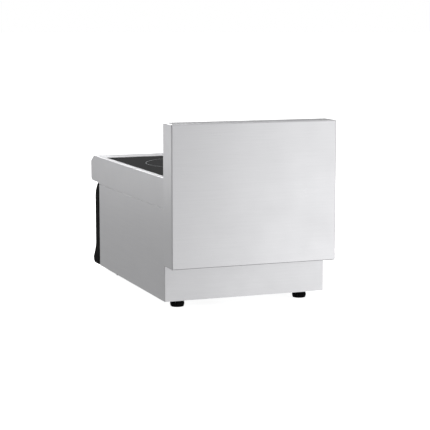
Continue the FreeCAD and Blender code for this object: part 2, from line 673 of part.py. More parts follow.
def make_filter():
    """Cassette with a pull tab, its mesh pad, and the two rails that it slides in."""
    low, high = "filter_low_z", "filter_low_z + filter_thick"
    border = "filter_border"
    frame = block(("-filter_half", "filter_half"), ("filter_front_y", "filter_back_y"), (low, high))
    window = block((f"-filter_half + {border}", f"filter_half - {border}"),
                   (f"filter_front_y + {border}", f"filter_back_y - {border}"), (f"{low} - 1", f"{high} + 1"))
    tab = block(("-tab_half", "tab_half"), ("filter_front_y - tab_depth", "filter_front_y + 1"),
                (low, f"{low} + 2.5"))
    slot = block(("-tab_half + 6", "tab_half - 6"), ("filter_front_y - tab_depth + 5", "filter_front_y - 5"),
                 (f"{low} - 1", f"{low} + 4"))
    keep(cut(join(cut(frame, window), tab), slot), "filter_frame")
    pad = block((f"-filter_half + {border}", f"filter_half - {border}"),
                (f"filter_front_y + {border}", f"filter_back_y - {border}"),
                (f"{low} + 1.5", f"{high} - 1.5"))
    keep(pad, "filter_mesh")
    y = ("filter_front_y + 8", "filter_back_y + 6")
    web_x = "filter_half + slide_gap"
    lip_z = "filter_low_z - slide_gap - sheet"
    web = block((web_x, f"{web_x} + sheet"), y, (lip_z, "body_low_z"))
    lip = block((f"{web_x} - 7", f"{web_x} + sheet"), y, (lip_z, f"{lip_z} + sheet"))
    top = block((web_x, f"{web_x} + 13"), y, ("body_low_z - sheet", "body_low_z"))
    holes = [rod("screw_rad + 0.1", (f"{web_x} + 8", y_place, "body_low_z - 3"), "4")
             for y_place in RAIL_SCREW_YS]
    rail = cut(join(web, lip, top), *holes)
    keep(group(rail, mirror_x(rail)), "filter_rails")


# ---------------------------------------------------------------- electronics
def make_electronics():
    """Power board with its heat sink, modules and capacitors; mains filter board; terminals."""
    top = "board_z + board_thick"
    keep(block(("-140", "140"), ("-60", "150"), ("board_z", top)), "power_board")
    modules = [block((f"{x} - 16", f"{x} + 16"), (f"{y} - 10", f"{y} + 10"), (top, f"{top} + 6"))
               for x in (-32, 32) for y in (-10, 50, 95)]
    keep(group(*modules), "power_modules")
    sink_low = f"{top} + 6.2"
    fins = [block((f"{x} - 1", f"{x} + 1"), ("-50", "120"), (f"{sink_low} + 7", "104"))
            for x in range(-56, 57, 8)]
    sink_base = block(("-58", "58"), ("-50", "120"), (sink_low, f"{sink_low} + 8"))
    keep(join(sink_base, *fins), "heat_sink")
    keep(group(*[rod("16", ("100", str(y), top), "48") for y in (-30, 15, 60)]), "bus_capacitors")
    keep(block(("-155", "-75"), ("165", "290"), ("board_z", top)), "mains_filter_board")
    chokes = []
    for y in (195, 245):
        choke = document.addObject("Part::Torus", "choke")
        choke.Radius1 = 14
        choke.Radius2 = 7
        chokes.append(move(choke, "-115", str(y), f"{top} + 7"))
    keep(group(*chokes), "filter_chokes")
    places = [(x, y) for x in (-130, 130) for y in (-50, 140)]
    places += [(x, y) for x in (-148, -82) for y in (172, 283)]
    standoffs = [rod("3.5", (str(x), str(y), FLOOR_Z), f"board_z - ({FLOOR_Z})") for x, y in places]
    keep(group(*standoffs), "board_standoffs")
    body = block(("-50", "20"), ("200", "240"), (FLOOR_Z, f"{FLOOR_Z} + 34"))
    entries = [rod("4", (str(x), "199", f"{FLOOR_Z} + 12"), "42", "y") for x in range(-40, 11, 12)]
    heads = [rod("3.2", (str(x), "220", f"{FLOOR_Z} + 20"), "20") for x in range(-40, 11, 12)]
    keep(cut(body, *entries, *heads), "terminal_block")


# ---------------------------------------------------------------- mains entry
def make_mains_entry():
    """Recessed pocket in the base with a gland, its lock nut and a bonding stud."""
    x = ("pocket_x - pocket_half_x", "pocket_x + pocket_half_x")
    y = ("pocket_y - pocket_half_y", "pocket_y + pocket_half_y")
    low = FLOOR_Z
    outside = block((f"{x[0]} - sheet", f"{x[1]} + sheet"), (f"{y[0]} - sheet", f"{y[1]} + sheet"),
                    (low, "pocket_top_z"))
    rim = block((f"{x[0]} - 10", f"{x[1]} + 10"), (f"{y[0]} - 10", f"{y[1]} + 10"), (low, f"{low} + sheet"))
    inside = block(x, y, (f"{low} - 1", "pocket_top_z - sheet"))
    gland_hole = rod("gland_thread_rad + 0.2", ("pocket_x", "pocket_y", "pocket_top_z - 3"), "6")
    earth_hole = rod("earth_rad + 0.1", ("earth_x", "earth_y", "pocket_top_z - 3"), "6")
    screws = [rod("screw_rad + 0.1", (sx, sy, f"{low} - 1"), "4") for sx, sy in POCKET_SCREW_PLACES]
    keep(cut(join(outside, rim), inside, gland_hole, earth_hole, *screws), "cable_pocket")
    ceiling = "pocket_top_z - sheet"
    gland = join(nut("gland_thread_rad + 4.5", ("pocket_x", "pocket_y", f"{ceiling} - 6"), "6"),
                 nut("gland_thread_rad + 3.5", ("pocket_x", "pocket_y", f"{ceiling} - 18"), "11"),
                 rod("gland_thread_rad + 0.5", ("pocket_x", "pocket_y", f"{ceiling} - 24"), "24"),
                 rod("gland_thread_rad", ("pocket_x", "pocket_y", f"{ceiling} - 1"), "15"))
    bore = rod("cable_rad", ("pocket_x", "pocket_y", f"{ceiling} - 25"), "60")
    keep(cut(gland, bore), "cable_gland")
    lock_nut = cut(nut("gland_thread_rad + 4.5", ("pocket_x", "pocket_y", "pocket_top_z"), "5"),
                   rod("gland_thread_rad + 0.1", ("pocket_x", "pocket_y", "pocket_top_z - 1"), "8"))
    keep(lock_nut, "gland_lock_nut")
    stud = join(rod("earth_rad", ("earth_x", "earth_y", f"{ceiling} - 24"), "36"),
                nut("earth_rad * 1.9", ("earth_x", "earth_y", f"{ceiling} - 5"), "5"),
                nut("earth_rad * 1.9", ("earth_x", "earth_y", "pocket_top_z"), "5"))
    keep(stud, "earth_stud")


# ---------------------------------------------------------------- feet and fasteners
def make_feet():
    """Four levelling feet: waisted pads with grip flutes, threaded studs and weld nuts."""
    height = "body_low_z - gap"
    nuts = []
    for name, (x, y) in FOOT_PLACES.items():
        pad = turned([("0", "0"), ("foot_neck_rad", "0"), ("foot_rad", f"({height}) * 0.44"),
                      ("foot_rad", f"({height}) * 0.56"), ("foot_neck_rad", height), ("0", height)])
        flutes = []
        for angle in range(0, 360, 30):
            across, along = math.cos(math.radians(angle)), math.sin(math.radians(angle))
            place = (f"(foot_rad + 1) * {across:.5f}", f"(foot_rad + 1) * {along:.5f}", "-1")
            flutes.append(rod("2", place, "30"))
        bore = rod("stud_rad + running_gap", ("0", "0", "stud_low_z - gap"), "30")
        keep(move(group(cut(pad, bore, *flutes)), x, y), f"foot_pad_{name}")
        stud = turned([("0", "stud_low_z"), ("stud_rad", "stud_low_z"), ("stud_rad", "stud_top_z - 1.5"),
                       ("stud_rad - 1.5", "stud_top_z"), ("0", "stud_top_z")])
        keep(move(stud, x, y), f"foot_stud_{name}")
        flat = block((f"{x} - 15", f"{x} + 15"), (f"{y} - 15", f"{y} + 15"), (FLOOR_Z, f"{FLOOR_Z} + 2"))
        weld_nut = join(flat, nut("nut_rad", (x, y, FLOOR_Z), "nut_height + 2"))
        nuts.append(cut(weld_nut, rod("stud_rad + running_gap", (x, y, f"{FLOOR_Z} - 1"), "20")))
    keep(group(*nuts), "foot_weld_nuts")


def make_screws():
    """Pan-head screws of the splash box, the filter rails and the cable pocket."""
    screws = []
    head_y = f"{SPLASH_IN_Y} + gap + 2"
    tip_y = "back_y - sheet - 6"
    for x, z in SPLASH_SCREW_PLACES:
        screws.append(join(rod("screw_rad", (x, tip_y, z), f"{head_y} + 1 - ({tip_y})", "y"),
                           rod("screw_head_rad", (x, head_y, z), "2", "y")))
    for x, y in BASE_SCREW_PLACES:
        under = "body_low_z - sheet" if (x, y) not in POCKET_SCREW_PLACES else "body_low_z"
        screws.append(join(rod("screw_head_rad", (x, y, f"{under} - 2"), "2"),
                           rod("screw_rad", (x, y, f"{under} - 1"), "8")))
    keep(group(*screws), "chassis_screws")


def write_parts():
    """Check every object and sub-part, then write one STEP file for each sub-part."""
    document.recompute()
    for item in document.Objects:
        if {"Invalid", "Error"} & set(item.State):
            raise RuntimeError(f"{item.Name} ({item.Label}) failed: {item.State}")
    for item in SUBPARTS:
        if item.Shape.isNull() or not item.Shape.isValid() or not item.Shape.Solids:
            raise RuntimeError(f"{item.Label} is not a valid solid")
    os.makedirs("parts", exist_ok=True)
    for item in SUBPARTS:
        box = item.Shape.BoundBox
        item.Shape.exportStep(f"parts/{item.Label}.step")
        print(f"{item.Label:24s} {len(item.Shape.Solids):2d} solids {item.Shape.Volume / 1000:9.2f} cm3  "
              f"x {box.XMin:7.1f} {box.XMax:7.1f}  y {box.YMin:7.1f} {box.YMax:7.1f}  "
              f"z {box.ZMin:6.1f} {box.ZMax:6.1f}")
    print(len(SUBPARTS), "sub-parts")


make_base_plate()
make_side_panel()
make_back_panel()
make_mid_deck()
make_front_cross_rail()
make_hob_top()
make_glass()
make_coil()
make_fascia()
make_end_cap()
make_knob()
make_controls()
make_splash_box()
make_splash_fixing()
make_fan()
make_air_duct()
make_filter()
make_electronics()
make_mains_entry()
make_feet()
make_screws()
write_parts()
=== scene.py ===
# %% [markdown]
# # A countertop glass-top cooking unit, dressed around its CAD frame
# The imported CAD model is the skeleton: every body, joint and size comes from it. This script only
# adds what the eye needs, namely folded sheet with real bend radii, moulded and fluted plastic,
# wound copper, and a finish for every surface. Loading the frame comes first, because each piece
# asks it for its place.

import math

import bmesh
import bpy
import numpy as np
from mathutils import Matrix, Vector


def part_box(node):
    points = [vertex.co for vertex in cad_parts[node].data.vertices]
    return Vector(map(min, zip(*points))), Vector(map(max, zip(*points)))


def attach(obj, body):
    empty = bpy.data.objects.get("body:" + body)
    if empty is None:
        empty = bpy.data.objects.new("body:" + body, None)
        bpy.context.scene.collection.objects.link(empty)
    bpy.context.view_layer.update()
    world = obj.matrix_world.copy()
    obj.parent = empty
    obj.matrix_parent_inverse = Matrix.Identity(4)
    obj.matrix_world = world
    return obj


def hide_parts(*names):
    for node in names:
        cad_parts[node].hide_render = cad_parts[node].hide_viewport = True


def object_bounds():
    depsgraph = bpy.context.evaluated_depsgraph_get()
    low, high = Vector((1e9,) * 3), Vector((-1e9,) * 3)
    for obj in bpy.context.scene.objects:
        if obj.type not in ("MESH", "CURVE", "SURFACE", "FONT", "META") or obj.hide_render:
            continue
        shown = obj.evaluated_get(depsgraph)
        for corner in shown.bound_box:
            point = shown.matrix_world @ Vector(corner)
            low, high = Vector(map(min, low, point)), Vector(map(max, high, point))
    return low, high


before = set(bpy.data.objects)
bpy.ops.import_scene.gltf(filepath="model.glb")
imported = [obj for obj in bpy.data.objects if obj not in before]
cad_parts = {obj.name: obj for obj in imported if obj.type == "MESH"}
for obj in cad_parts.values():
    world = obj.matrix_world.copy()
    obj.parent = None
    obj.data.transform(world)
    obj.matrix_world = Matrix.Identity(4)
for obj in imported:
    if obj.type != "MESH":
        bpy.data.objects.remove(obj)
cad_bounds = [list(corner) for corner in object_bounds()]
MM = 0.001
print("overall box in metres:", cad_bounds)

# %% [markdown]
# ## Camera
# A long lens stands well back and a little above the unit, behind its right-hand side. A long lens
# keeps the verticals of a box nearly parallel, which is how products are usually shown. The camera
# aims at the middle of the whole box, with a small offset that leaves room on both sides.

# %% Camera
AZIMUTH, ELEVATION = math.radians(159.18), math.radians(7.92)
DISTANCE, LENS, SENSOR = 3.981, 119.65, 36.0
AIM_OFFSET = Vector((-0.0242, 0.0157, -0.0433))

middle = (Vector(cad_bounds[0]) + Vector(cad_bounds[1])) / 2
looking = Vector((-math.sin(AZIMUTH) * math.cos(ELEVATION),
                  math.cos(AZIMUTH) * math.cos(ELEVATION),
                  -math.sin(ELEVATION)))
camera_data = bpy.data.cameras.new("camera")
camera_data.lens = LENS
camera_data.sensor_width = SENSOR
camera_data.clip_end = 200
camera = bpy.data.objects.new("camera", camera_data)
camera.location = middle + AIM_OFFSET - looking * DISTANCE
camera.rotation_euler = looking.to_track_quat("-Z", "Y").to_euler()
bpy.context.scene.collection.objects.link(camera)
bpy.context.scene.camera = camera
print("camera at", [round(value, 3) for value in camera.location])

# %% [markdown]
# ## Colours and nodes
# Colours are written as the hex values that a colour picker shows. Shaders work with linear light,
# so one function undoes the sRGB curve. One more small function adds a node, sets it up and wires
# it, and every material below is written with it. A pattern usually ends in one of two ways: it
# leads from one tone to another, or it sets the roughness between two values.

# %% Colour and node helpers
def linear(hex_colour, share=1.0):
    """'#rrggbb' as linear RGBA: a channel c becomes share * ((c + 0.055) / 1.055) ** 2.4."""
    channels = np.array([int(hex_colour[i:i + 2], 16) for i in (1, 3, 5)]) / 255
    low = channels <= 0.04045
    return (*share * np.where(low, channels / 12.92, ((channels + 0.055) / 1.055) ** 2.4), 1.0)


def add(tree, kind, settings=None, **inputs):
    """Add a node, set its properties and sockets, and link each socket that is given a node.

    A socket goes by its name, with _ for a space, or by i and its number where names repeat.
    """
    node = tree.nodes.new("ShaderNode" + kind)
    for name, setting in (settings or {}).items():
        setattr(node, name, setting)
    for name, given in inputs.items():
        if name[1:].isdigit():
            socket = node.inputs[int(name[1:])]
        else:
            socket = next(s for s in node.inputs if s.enabled and s.name == name.replace("_", " "))
        if isinstance(given, bpy.types.Node):
            given = next(output for output in given.outputs if output.enabled)
        if isinstance(given, bpy.types.NodeSocket):
            tree.links.new(given, socket)
        else:
            socket.default_value = given
    return node


def new_material(name):
    """A material with an empty node tree."""
    material = bpy.data.materials.new(name)
    material.use_nodes = True
    material.node_tree.nodes.clear()
    return material, material.node_tree


def finished(material, **looks):
    """Close a material: each look of its shader is a number, a colour or a node that drives it."""
    shader = add(material.node_tree, "BsdfPrincipled", **looks)
    add(material.node_tree, "OutputMaterial", Surface=shader)
    return material


def stretched(tree, along_mm, across_mm, axis):
    """Coordinates in which one unit is along_mm on one axis and across_mm on the other two."""
    scale = [1 / (across_mm * MM)] * 3
    scale[axis] = 1 / (along_mm * MM)
    return add(tree, "Mapping", Vector=add(tree, "TexCoord").outputs["Object"], Scale=scale)


def toned(tree, pattern, dark, light, low=0.3, high=0.7):
    """Dark where the pattern is below low, light where it is above high, and even steps between."""
    step = add(tree, "MapRange", Value=pattern, From_Min=low, From_Max=high)
    return add(tree, "Mix", {"data_type": "RGBA"}, Factor=step, A=dark, B=light)


print("steel grey in linear light:", [round(c, 3) for c in linear("#c8cacc")[:3]])

# %% [markdown]
# ## Brushed stainless steel
# The panels are AISI 304 sheet, belt-ground to a number 4 finish. The belt leaves fine parallel
# scratches, a few tenths of a millimetre apart and several centimetres long, so a highlight is
# drawn out across them. The scratches are stretched noise, laid along one axis of the piece, in two
# sizes: the true fine ones for a near view, and broad faint bands that still show from afar. A
# protective film leaves faint cloudy patches, which only change the roughness.

# %% Brushed stainless steel
SCRATCH_MM, SCRATCH_LENGTH_MM = 0.45, 45
BAND_MM, BAND_LENGTH_MM = 4.5, 110
CLOUD_MM = 90
STEEL_TONE = "#dddddf"


def brushed_stainless(name, axis, smoothest):
    """Scratches run along axis; smoothest is the roughness at the bottom of a scratch."""
    material, tree = new_material(name)
    fine = add(tree, "TexNoise", Scale=1, Detail=3,
               Vector=stretched(tree, SCRATCH_LENGTH_MM, SCRATCH_MM, axis))
    bands = add(tree, "TexNoise", Scale=1, Detail=2,
                Vector=stretched(tree, BAND_LENGTH_MM, BAND_MM, axis))
    clouds = add(tree, "TexNoise", Scale=1, Detail=3,
                 Vector=stretched(tree, CLOUD_MM, CLOUD_MM, axis))
    faint = add(tree, "MapRange", Value=fine, From_Min=0.3, From_Max=0.7, To_Max=0.4)
    streaks = add(tree, "Math", {"operation": "MULTIPLY_ADD"}, i0=bands, i1=0.6, i2=faint)
    scratched = add(tree, "MapRange", Value=fine, From_Min=0.2, From_Max=0.8,
                    To_Min=smoothest, To_Max=smoothest + 0.08)
    clouded = add(tree, "MapRange", Value=clouds, From_Min=0.3, From_Max=0.7, To_Max=0.05)
    return finished(
        material, Metallic=1,
        Base_Color=toned(tree, streaks, linear(STEEL_TONE, 0.955), linear(STEEL_TONE), 0.25, 0.75),
        Roughness=add(tree, "Math", {"operation": "ADD"}, i0=scratched, i1=clouded),
        Normal=add(tree, "Bump", Height=fine, Strength=0.25, Distance=0.02 * MM))


COVER_STEEL = brushed_stainless("brushed_stainless_cover", 0, 0.25)
STEEL_X = brushed_stainless("brushed_stainless_along_x", 0, 0.30)
STEEL_Y = brushed_stainless("brushed_stainless_along_y", 1, 0.30)
print("steel finishes:", COVER_STEEL.name, STEEL_X.name, STEEL_Y.name)

# %% [markdown]
# ## Zinc: galvanised sheet and plated fasteners
# Inner sheet is hot-dip galvanised, so it freezes into grey crystals, the spangle, each of which
# mirrors a little differently: Voronoi cells of about 9 mm give each crystal its own tone and
# roughness. Screws and studs are electroplated, which is smoother, with only a faint grain.

# %% Zinc finishes
SPANGLE_MM = 9


def galvanised_sheet():
    material, tree = new_material("hot_dip_galvanised")
    cells = add(tree, "TexVoronoi", Scale=1, Randomness=1,
                Vector=stretched(tree, SPANGLE_MM, SPANGLE_MM, 0))
    tone = add(tree, "SeparateColor", Color=cells.outputs["Color"])
    grain = add(tree, "TexNoise", Scale=1, Detail=2, Vector=stretched(tree, 1.2, 1.2, 0))
    return finished(material, Metallic=1,
                    Base_Color=toned(tree, tone, linear("#a9aeb2"), linear("#c9cdd0"), 0, 1),
                    Roughness=add(tree, "MapRange", Value=tone, To_Min=0.34, To_Max=0.52),
                    Normal=add(tree, "Bump", Height=grain, Strength=0.15, Distance=0.05 * MM))


def zinc_plating():
    material, tree = new_material("electroplated_zinc")
    grain = add(tree, "TexNoise", Scale=1, Detail=4, Vector=stretched(tree, 1.5, 1.5, 0))
    rough = add(tree, "MapRange", Value=grain, From_Min=0.3, From_Max=0.7, To_Min=0.22, To_Max=0.36)
    return finished(material, Metallic=1, Roughness=rough,
                    Base_Color=toned(tree, grain, linear("#b9bdc0"), linear("#d5d8d6")))


GALVANISED = galvanised_sheet()
ZINC = zinc_plating()
print("zinc finishes:", GALVANISED.name, ZINC.name)

# %% [markdown]
# ## Mouldings, coatings and rubber
# The black materials differ mostly in their skin. Glass-filled nylon shows short fibres, ABS
# carries a spark-eroded grain, the phenolic knob is smooth satin, powder coat has the gentle
# waviness called orange peel, and silicone is matt with a little dust. One function holds what
# they share with the other insulators: two tones, a grain and slow patches of roughness. Each is
# named for what it is, with the size of its grain in millimetres.

# %% Mouldings and coatings
PATCH_MM = 30


def grained(name, dark, light, grain_mm, rough, depth_mm, fibre=1.0, ior=1.5, shine=0.5):
    """Two tones and bumps of grain_mm, fibre times longer in X, on patches of roughness."""
    material, tree = new_material(name)
    grain = add(tree, "TexNoise", Scale=1, Detail=3,
                Vector=stretched(tree, grain_mm * fibre, grain_mm, 0))
    patches = add(tree, "TexNoise", Scale=1, Detail=3,
                  Vector=stretched(tree, PATCH_MM, PATCH_MM, 0))
    return finished(
        material, IOR=ior, Specular_IOR_Level=shine,
        Base_Color=toned(tree, grain, linear(dark), linear(light), 0.35, 0.65),
        Roughness=add(tree, "MapRange", Value=patches, From_Min=0.3, From_Max=0.7,
                      To_Min=rough - 0.04, To_Max=rough + 0.05),
        Normal=add(tree, "Bump", Height=grain, Strength=0.6, Distance=depth_mm * MM))


POWDER_COAT = grained("black_powder_coat", "#040405", "#08080a", 1.6, 0.34, 0.03, shine=0.3)
ABS = grained("black_moulded_abs", "#020202", "#050505", 0.5, 0.5, 0.03, ior=1.53, shine=0.02)
NYLON = grained("black_glass_filled_nylon", "#030303", "#080809", 0.6, 0.46, 0.03, fibre=4,
                ior=1.53, shine=0.07)
PHENOLIC = grained("satin_phenolic", "#0c0c0d", "#141415", 0.4, 0.30, 0.01, ior=1.6)
SILICONE = grained("black_silicone", "#0d0d0e", "#17181a", 0.8, 0.52, 0.02, ior=1.41)
FERRITE = grained("sintered_ferrite", "#1c1c1e", "#2a2a2c", 0.5, 0.62, 0.03)
MICA = grained("pressed_mica_paper", "#9d8f74", "#c2b596", 2.5, 0.4, 0.03, fibre=2, ior=1.56)
GREY_NYLON = grained("grey_moulded_nylon", "#5a5d60", "#66696c", 0.6, 0.42, 0.02, fibre=3, ior=1.53)
SLEEVE = grained("blue_shrink_sleeve", "#10203c", "#16294a", 1.0, 0.22, 0.01, ior=1.53)
WHITE_PRINT = grained("white_pad_print", "#d6d8d8", "#e6e8e8", 0.5, 0.5, 0.005)
BLACK_PRINT = grained("black_pad_print", "#101011", "#1a1a1b", 0.5, 0.5, 0.005)
print("mouldings and coatings:", POWDER_COAT.name, ABS.name, NYLON.name, PHENOLIC.name)

# %% [markdown]
# ## Aluminium
# The dial ring and the heat sink are bare aluminium. The dial is turned on a lathe, so its grooves
# are circles about its axis: the distance from that axis, divided by the groove pitch, drives a
# wave. Extrusions such as the heat sink have straight die lines instead.

# %% Aluminium
GROOVE_MM = 0.7
DIE_LINE_MM, DIE_LINE_LENGTH_MM = 0.8, 120


def turned_aluminium(centre):
    """Grooves follow the radius sqrt(x*x + z*z) about the axis through centre, along Y."""
    material, tree = new_material("turned_aluminium")
    place = add(tree, "Mapping", Vector=add(tree, "TexCoord").outputs["Object"],
                Location=(-centre[0], 0, -centre[2]), Scale=(1, 0, 1))
    radius = add(tree, "VectorMath", {"operation": "LENGTH"}, i0=place)
    turns = add(tree, "Math", {"operation": "MULTIPLY"}, i0=radius, i1=1 / (GROOVE_MM * MM))
    wave = add(tree, "TexNoise", {"noise_dimensions": "1D"}, W=turns, Scale=1, Detail=1)
    rough = add(tree, "MapRange", Value=wave, From_Min=0.3, From_Max=0.7, To_Min=0.24, To_Max=0.38)
    return finished(material, Metallic=1, Roughness=rough,
                    Base_Color=toned(tree, wave, linear("#aeb1b4"), linear("#d0d3d5")),
                    Normal=add(tree, "Bump", Height=wave, Strength=0.4, Distance=0.02 * MM))


def extruded_aluminium():
    material, tree = new_material("extruded_aluminium")
    lines = add(tree, "TexNoise", Scale=1, Detail=2,
                Vector=stretched(tree, DIE_LINE_LENGTH_MM, DIE_LINE_MM, 1))
    rough = add(tree, "MapRange", Value=lines, From_Min=0.3, From_Max=0.7, To_Min=0.3, To_Max=0.45)
    return finished(material, Metallic=1, Roughness=rough,
                    Base_Color=toned(tree, lines, linear("#b0b3b6"), linear("#d2d5d8"), 0, 1))


dial_low, dial_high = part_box("dial_ring")
TURNED = turned_aluminium((dial_low + dial_high) / 2)
EXTRUDED = extruded_aluminium()
print("aluminium finishes:", TURNED.name, EXTRUDED.name)

# %% [markdown]
# ## Glass ceramic
# The cooking surface is a 6 mm plate of black glass ceramic: almost black in its depth, polished,
# with reflections that grow towards grazing angles, which the shader's own Fresnel gives. The
# cooking zone is a thin grey ring of ceramic print, a little rougher than the glass, with a small
# cross at its centre. It is drawn from the distance to that centre, so it is a true circle of the
# right size. Faint wiping marks only touch the roughness.

# %% Glass ceramic
ZONE_RADIUS_MM, ZONE_LINE_MM = 152, 2.2
CROSS_ARM_MM, CROSS_LINE_MM = 12, 1.4
WIPE_MM, WIPE_LENGTH_MM = 18, 60


def glass_ceramic(centre):
    """The ring is where |r - zone radius| is below half a line, the cross where |x| or |y| is."""
    material, tree = new_material("black_glass_ceramic")
    place = add(tree, "TexCoord").outputs["Object"]
    spot = add(tree, "VectorMath", {"operation": "SUBTRACT"}, i0=place, i1=centre)
    flat = add(tree, "VectorMath", {"operation": "MULTIPLY"}, i0=spot, i1=(1, 1, 0))
    radius = add(tree, "VectorMath", {"operation": "LENGTH"}, i0=flat)
    ring = add(tree, "Math", {"operation": "COMPARE"}, i0=radius, i1=ZONE_RADIUS_MM * MM,
               i2=ZONE_LINE_MM / 2 * MM)
    axes = add(tree, "SeparateXYZ", Vector=flat).outputs
    on_x, on_y = (add(tree, "Math", {"operation": "COMPARE"}, i0=axes[k], i1=0,
                      i2=CROSS_LINE_MM / 2 * MM) for k in (0, 1))
    arms = add(tree, "Math", {"operation": "MAXIMUM"}, i0=on_x, i1=on_y)
    near = add(tree, "Math", {"operation": "LESS_THAN"}, i0=radius, i1=CROSS_ARM_MM * MM)
    cross = add(tree, "Math", {"operation": "MULTIPLY"}, i0=near, i1=arms)
    mark = add(tree, "Math", {"operation": "MAXIMUM"}, i0=ring, i1=cross)
    wiped = add(tree, "TexNoise", Scale=1, Detail=4, Distortion=1.5,
                Vector=stretched(tree, WIPE_LENGTH_MM, WIPE_MM, 0))
    clean = add(tree, "MapRange", Value=wiped, From_Min=0.35, From_Max=0.7, To_Min=0.05, To_Max=0.1)
    rough = add(tree, "Math", {"operation": "MULTIPLY_ADD"}, i0=mark, i1=0.3, i2=clean)
    return finished(material, IOR=1.53, Roughness=rough,
                    Base_Color=toned(tree, mark, linear("#0b0c0e"), linear("#54575a"), 0, 1),
                    Normal=add(tree, "Bump", Height=mark, Strength=0.3, Distance=0.02 * MM))


coil_low, coil_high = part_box("induction_coil")
zone_centre = (coil_low + coil_high) / 2
GLASS = glass_ceramic(zone_centre)
print("glass finish:", GLASS.name, "with its ring at", [round(v, 3) for v in zone_centre[:2]])

# %% [markdown]
# ## Lenses, circuit boards and litz wire
# The two lamps are dyed acrylic, clear enough for light to enter; their tint darkens towards the
# border of each small cell, which is painted shade for the facets of a prism lens. A circuit board
# is glass epoxy under green solder mask, through which the copper tracks show as lighter lines: a
# brick pattern gives straight runs with breaks. Litz wire is dozens of fine enamelled wires twisted
# together, so its pattern runs at a slant along the piece's own UV map; the pattern bumps the wire
# and also paints shade in its grooves and highlight on its crests.

# %% Lenses, boards and litz wire
PRISM_MM, TRACKS_MM = 1.6, 40


def dyed_acrylic(name, tint):
    material, tree = new_material(name)
    # Painted shade: the tint darkens towards each cell's border, standing in for the facets of a
    # prism lens.
    prism_facet_shade = add(tree, "TexVoronoi", Scale=1, Vector=stretched(tree, PRISM_MM, PRISM_MM, 0))
    specks = add(tree, "TexNoise", Scale=1, Detail=2, Vector=stretched(tree, 2, 2, 0))
    rough = add(tree, "MapRange", Value=specks, From_Min=0.3, From_Max=0.7,
                To_Min=0.06, To_Max=0.14)
    return finished(material, IOR=1.49, Transmission_Weight=0.35, Roughness=rough,
                    Base_Color=toned(tree, prism_facet_shade, linear(tint), linear(tint, 0.7), 0, 1))


def circuit_board():
    material, tree = new_material("green_circuit_board")
    tracks = add(tree, "TexBrick", Vector=stretched(tree, TRACKS_MM, TRACKS_MM, 0), Scale=8,
                 Mortar_Size=0.03, Color1=linear("#0f4a26"), Color2=linear("#124f2a"),
                 Mortar=linear("#2f7a48"))
    weave = add(tree, "TexNoise", Scale=1, Vector=stretched(tree, 1, 1, 0))
    rough = add(tree, "MapRange", Value=weave, From_Min=0.3, From_Max=0.7, To_Min=0.28, To_Max=0.38)
    relief = add(tree, "Bump", Height=tracks.outputs[1], Strength=0.5, Distance=0.04 * MM)
    return finished(material, Base_Color=tracks, Roughness=rough, Normal=relief)


def enamelled_litz():
    material, tree = new_material("enamelled_litz_wire")
    along = add(tree, "UVMap", {"uv_map": "run"})
    # Painted shade and painted highlight: the wave darkens the copper in the grooves between wires
    # and brightens it on their crests, besides bumping the surface.
    strand_relief_and_shade = add(tree, "TexWave", {"bands_direction": "DIAGONAL", "wave_profile": "SIN"},
                  Vector=along, Scale=1, Distortion=0.3, Detail=1).outputs[1]
    return finished(material, Metallic=0.85, Roughness=0.32,
                    Base_Color=toned(tree, strand_relief_and_shade, linear("#6b2f14"), linear("#c8743c"), 0, 1),
                    Normal=add(tree, "Bump", Height=strand_relief_and_shade, Strength=0.8, Distance=0.3 * MM))


GREEN_LENS = dyed_acrylic("green_dyed_acrylic", "#1f9a45")
AMBER_LENS = dyed_acrylic("amber_dyed_acrylic", "#d98a1c")
BOARD = circuit_board()
LITZ = enamelled_litz()
print("lens, board and wire finishes made:", len(bpy.data.materials), "materials so far")

# %% [markdown]
# ## Surfaces from numpy
# A surface is a grid of points, one row per step of its first parameter, so its faces follow from
# the grid's size alone. A piece is one or more such parts, whose shared borders are welded. Sheet
# gets its thickness from Solidify, thin edges a small bevel, and flat faces keep their own normals
# beside a fold, which stops dark smears on large panels. Places and sizes are always asked of the
# CAD nodes, in millimetres, and only the finished mesh is in metres.

# %% Grids, faces and circles
def grid(points, close_rows=False, close_columns=False):
    """Quads between neighbouring rows and columns of a (rows, columns, 3) array of points."""
    rows, columns = points.shape[:2]
    r = np.arange(rows if close_rows else rows - 1)[:, None]
    c = np.arange(columns if close_columns else columns - 1)[None, :]
    r_next, c_next = (r + 1) % rows, (c + 1) % columns
    corners = [r * columns + c, r_next * columns + c,
               r_next * columns + c_next, r * columns + c_next]
    quads = np.stack([np.broadcast_to(k, (len(r), c.shape[1])) for k in corners], -1).reshape(-1, 4)
    return points.reshape(-1, 3), quads.tolist()


def face_of(points):
    """One flat face through an ordered loop of points."""
    return np.asarray(points, float), [list(range(len(points)))]


def circle(count):
    """Points (cos t, sin t, 0) at equal steps of t round a full turn."""
    t = np.linspace(0, 2 * math.pi, count, endpoint=False)
    return np.stack([np.cos(t), np.sin(t), 0 * t], 1)


print("a grid of 3 by 4 points has", len(grid(np.zeros((3, 4, 3)))[1]), "faces")

# %% Make a piece
WELD = 2e-6
SHARP_EDGE = math.radians(55)


def baked(holder):
    """A new mesh of an object with its modifiers, or its text, worked out."""
    bpy.context.view_layer.update()
    depsgraph = bpy.context.evaluated_depsgraph_get()
    return bpy.data.meshes.new_from_object(holder.evaluated_get(depsgraph))


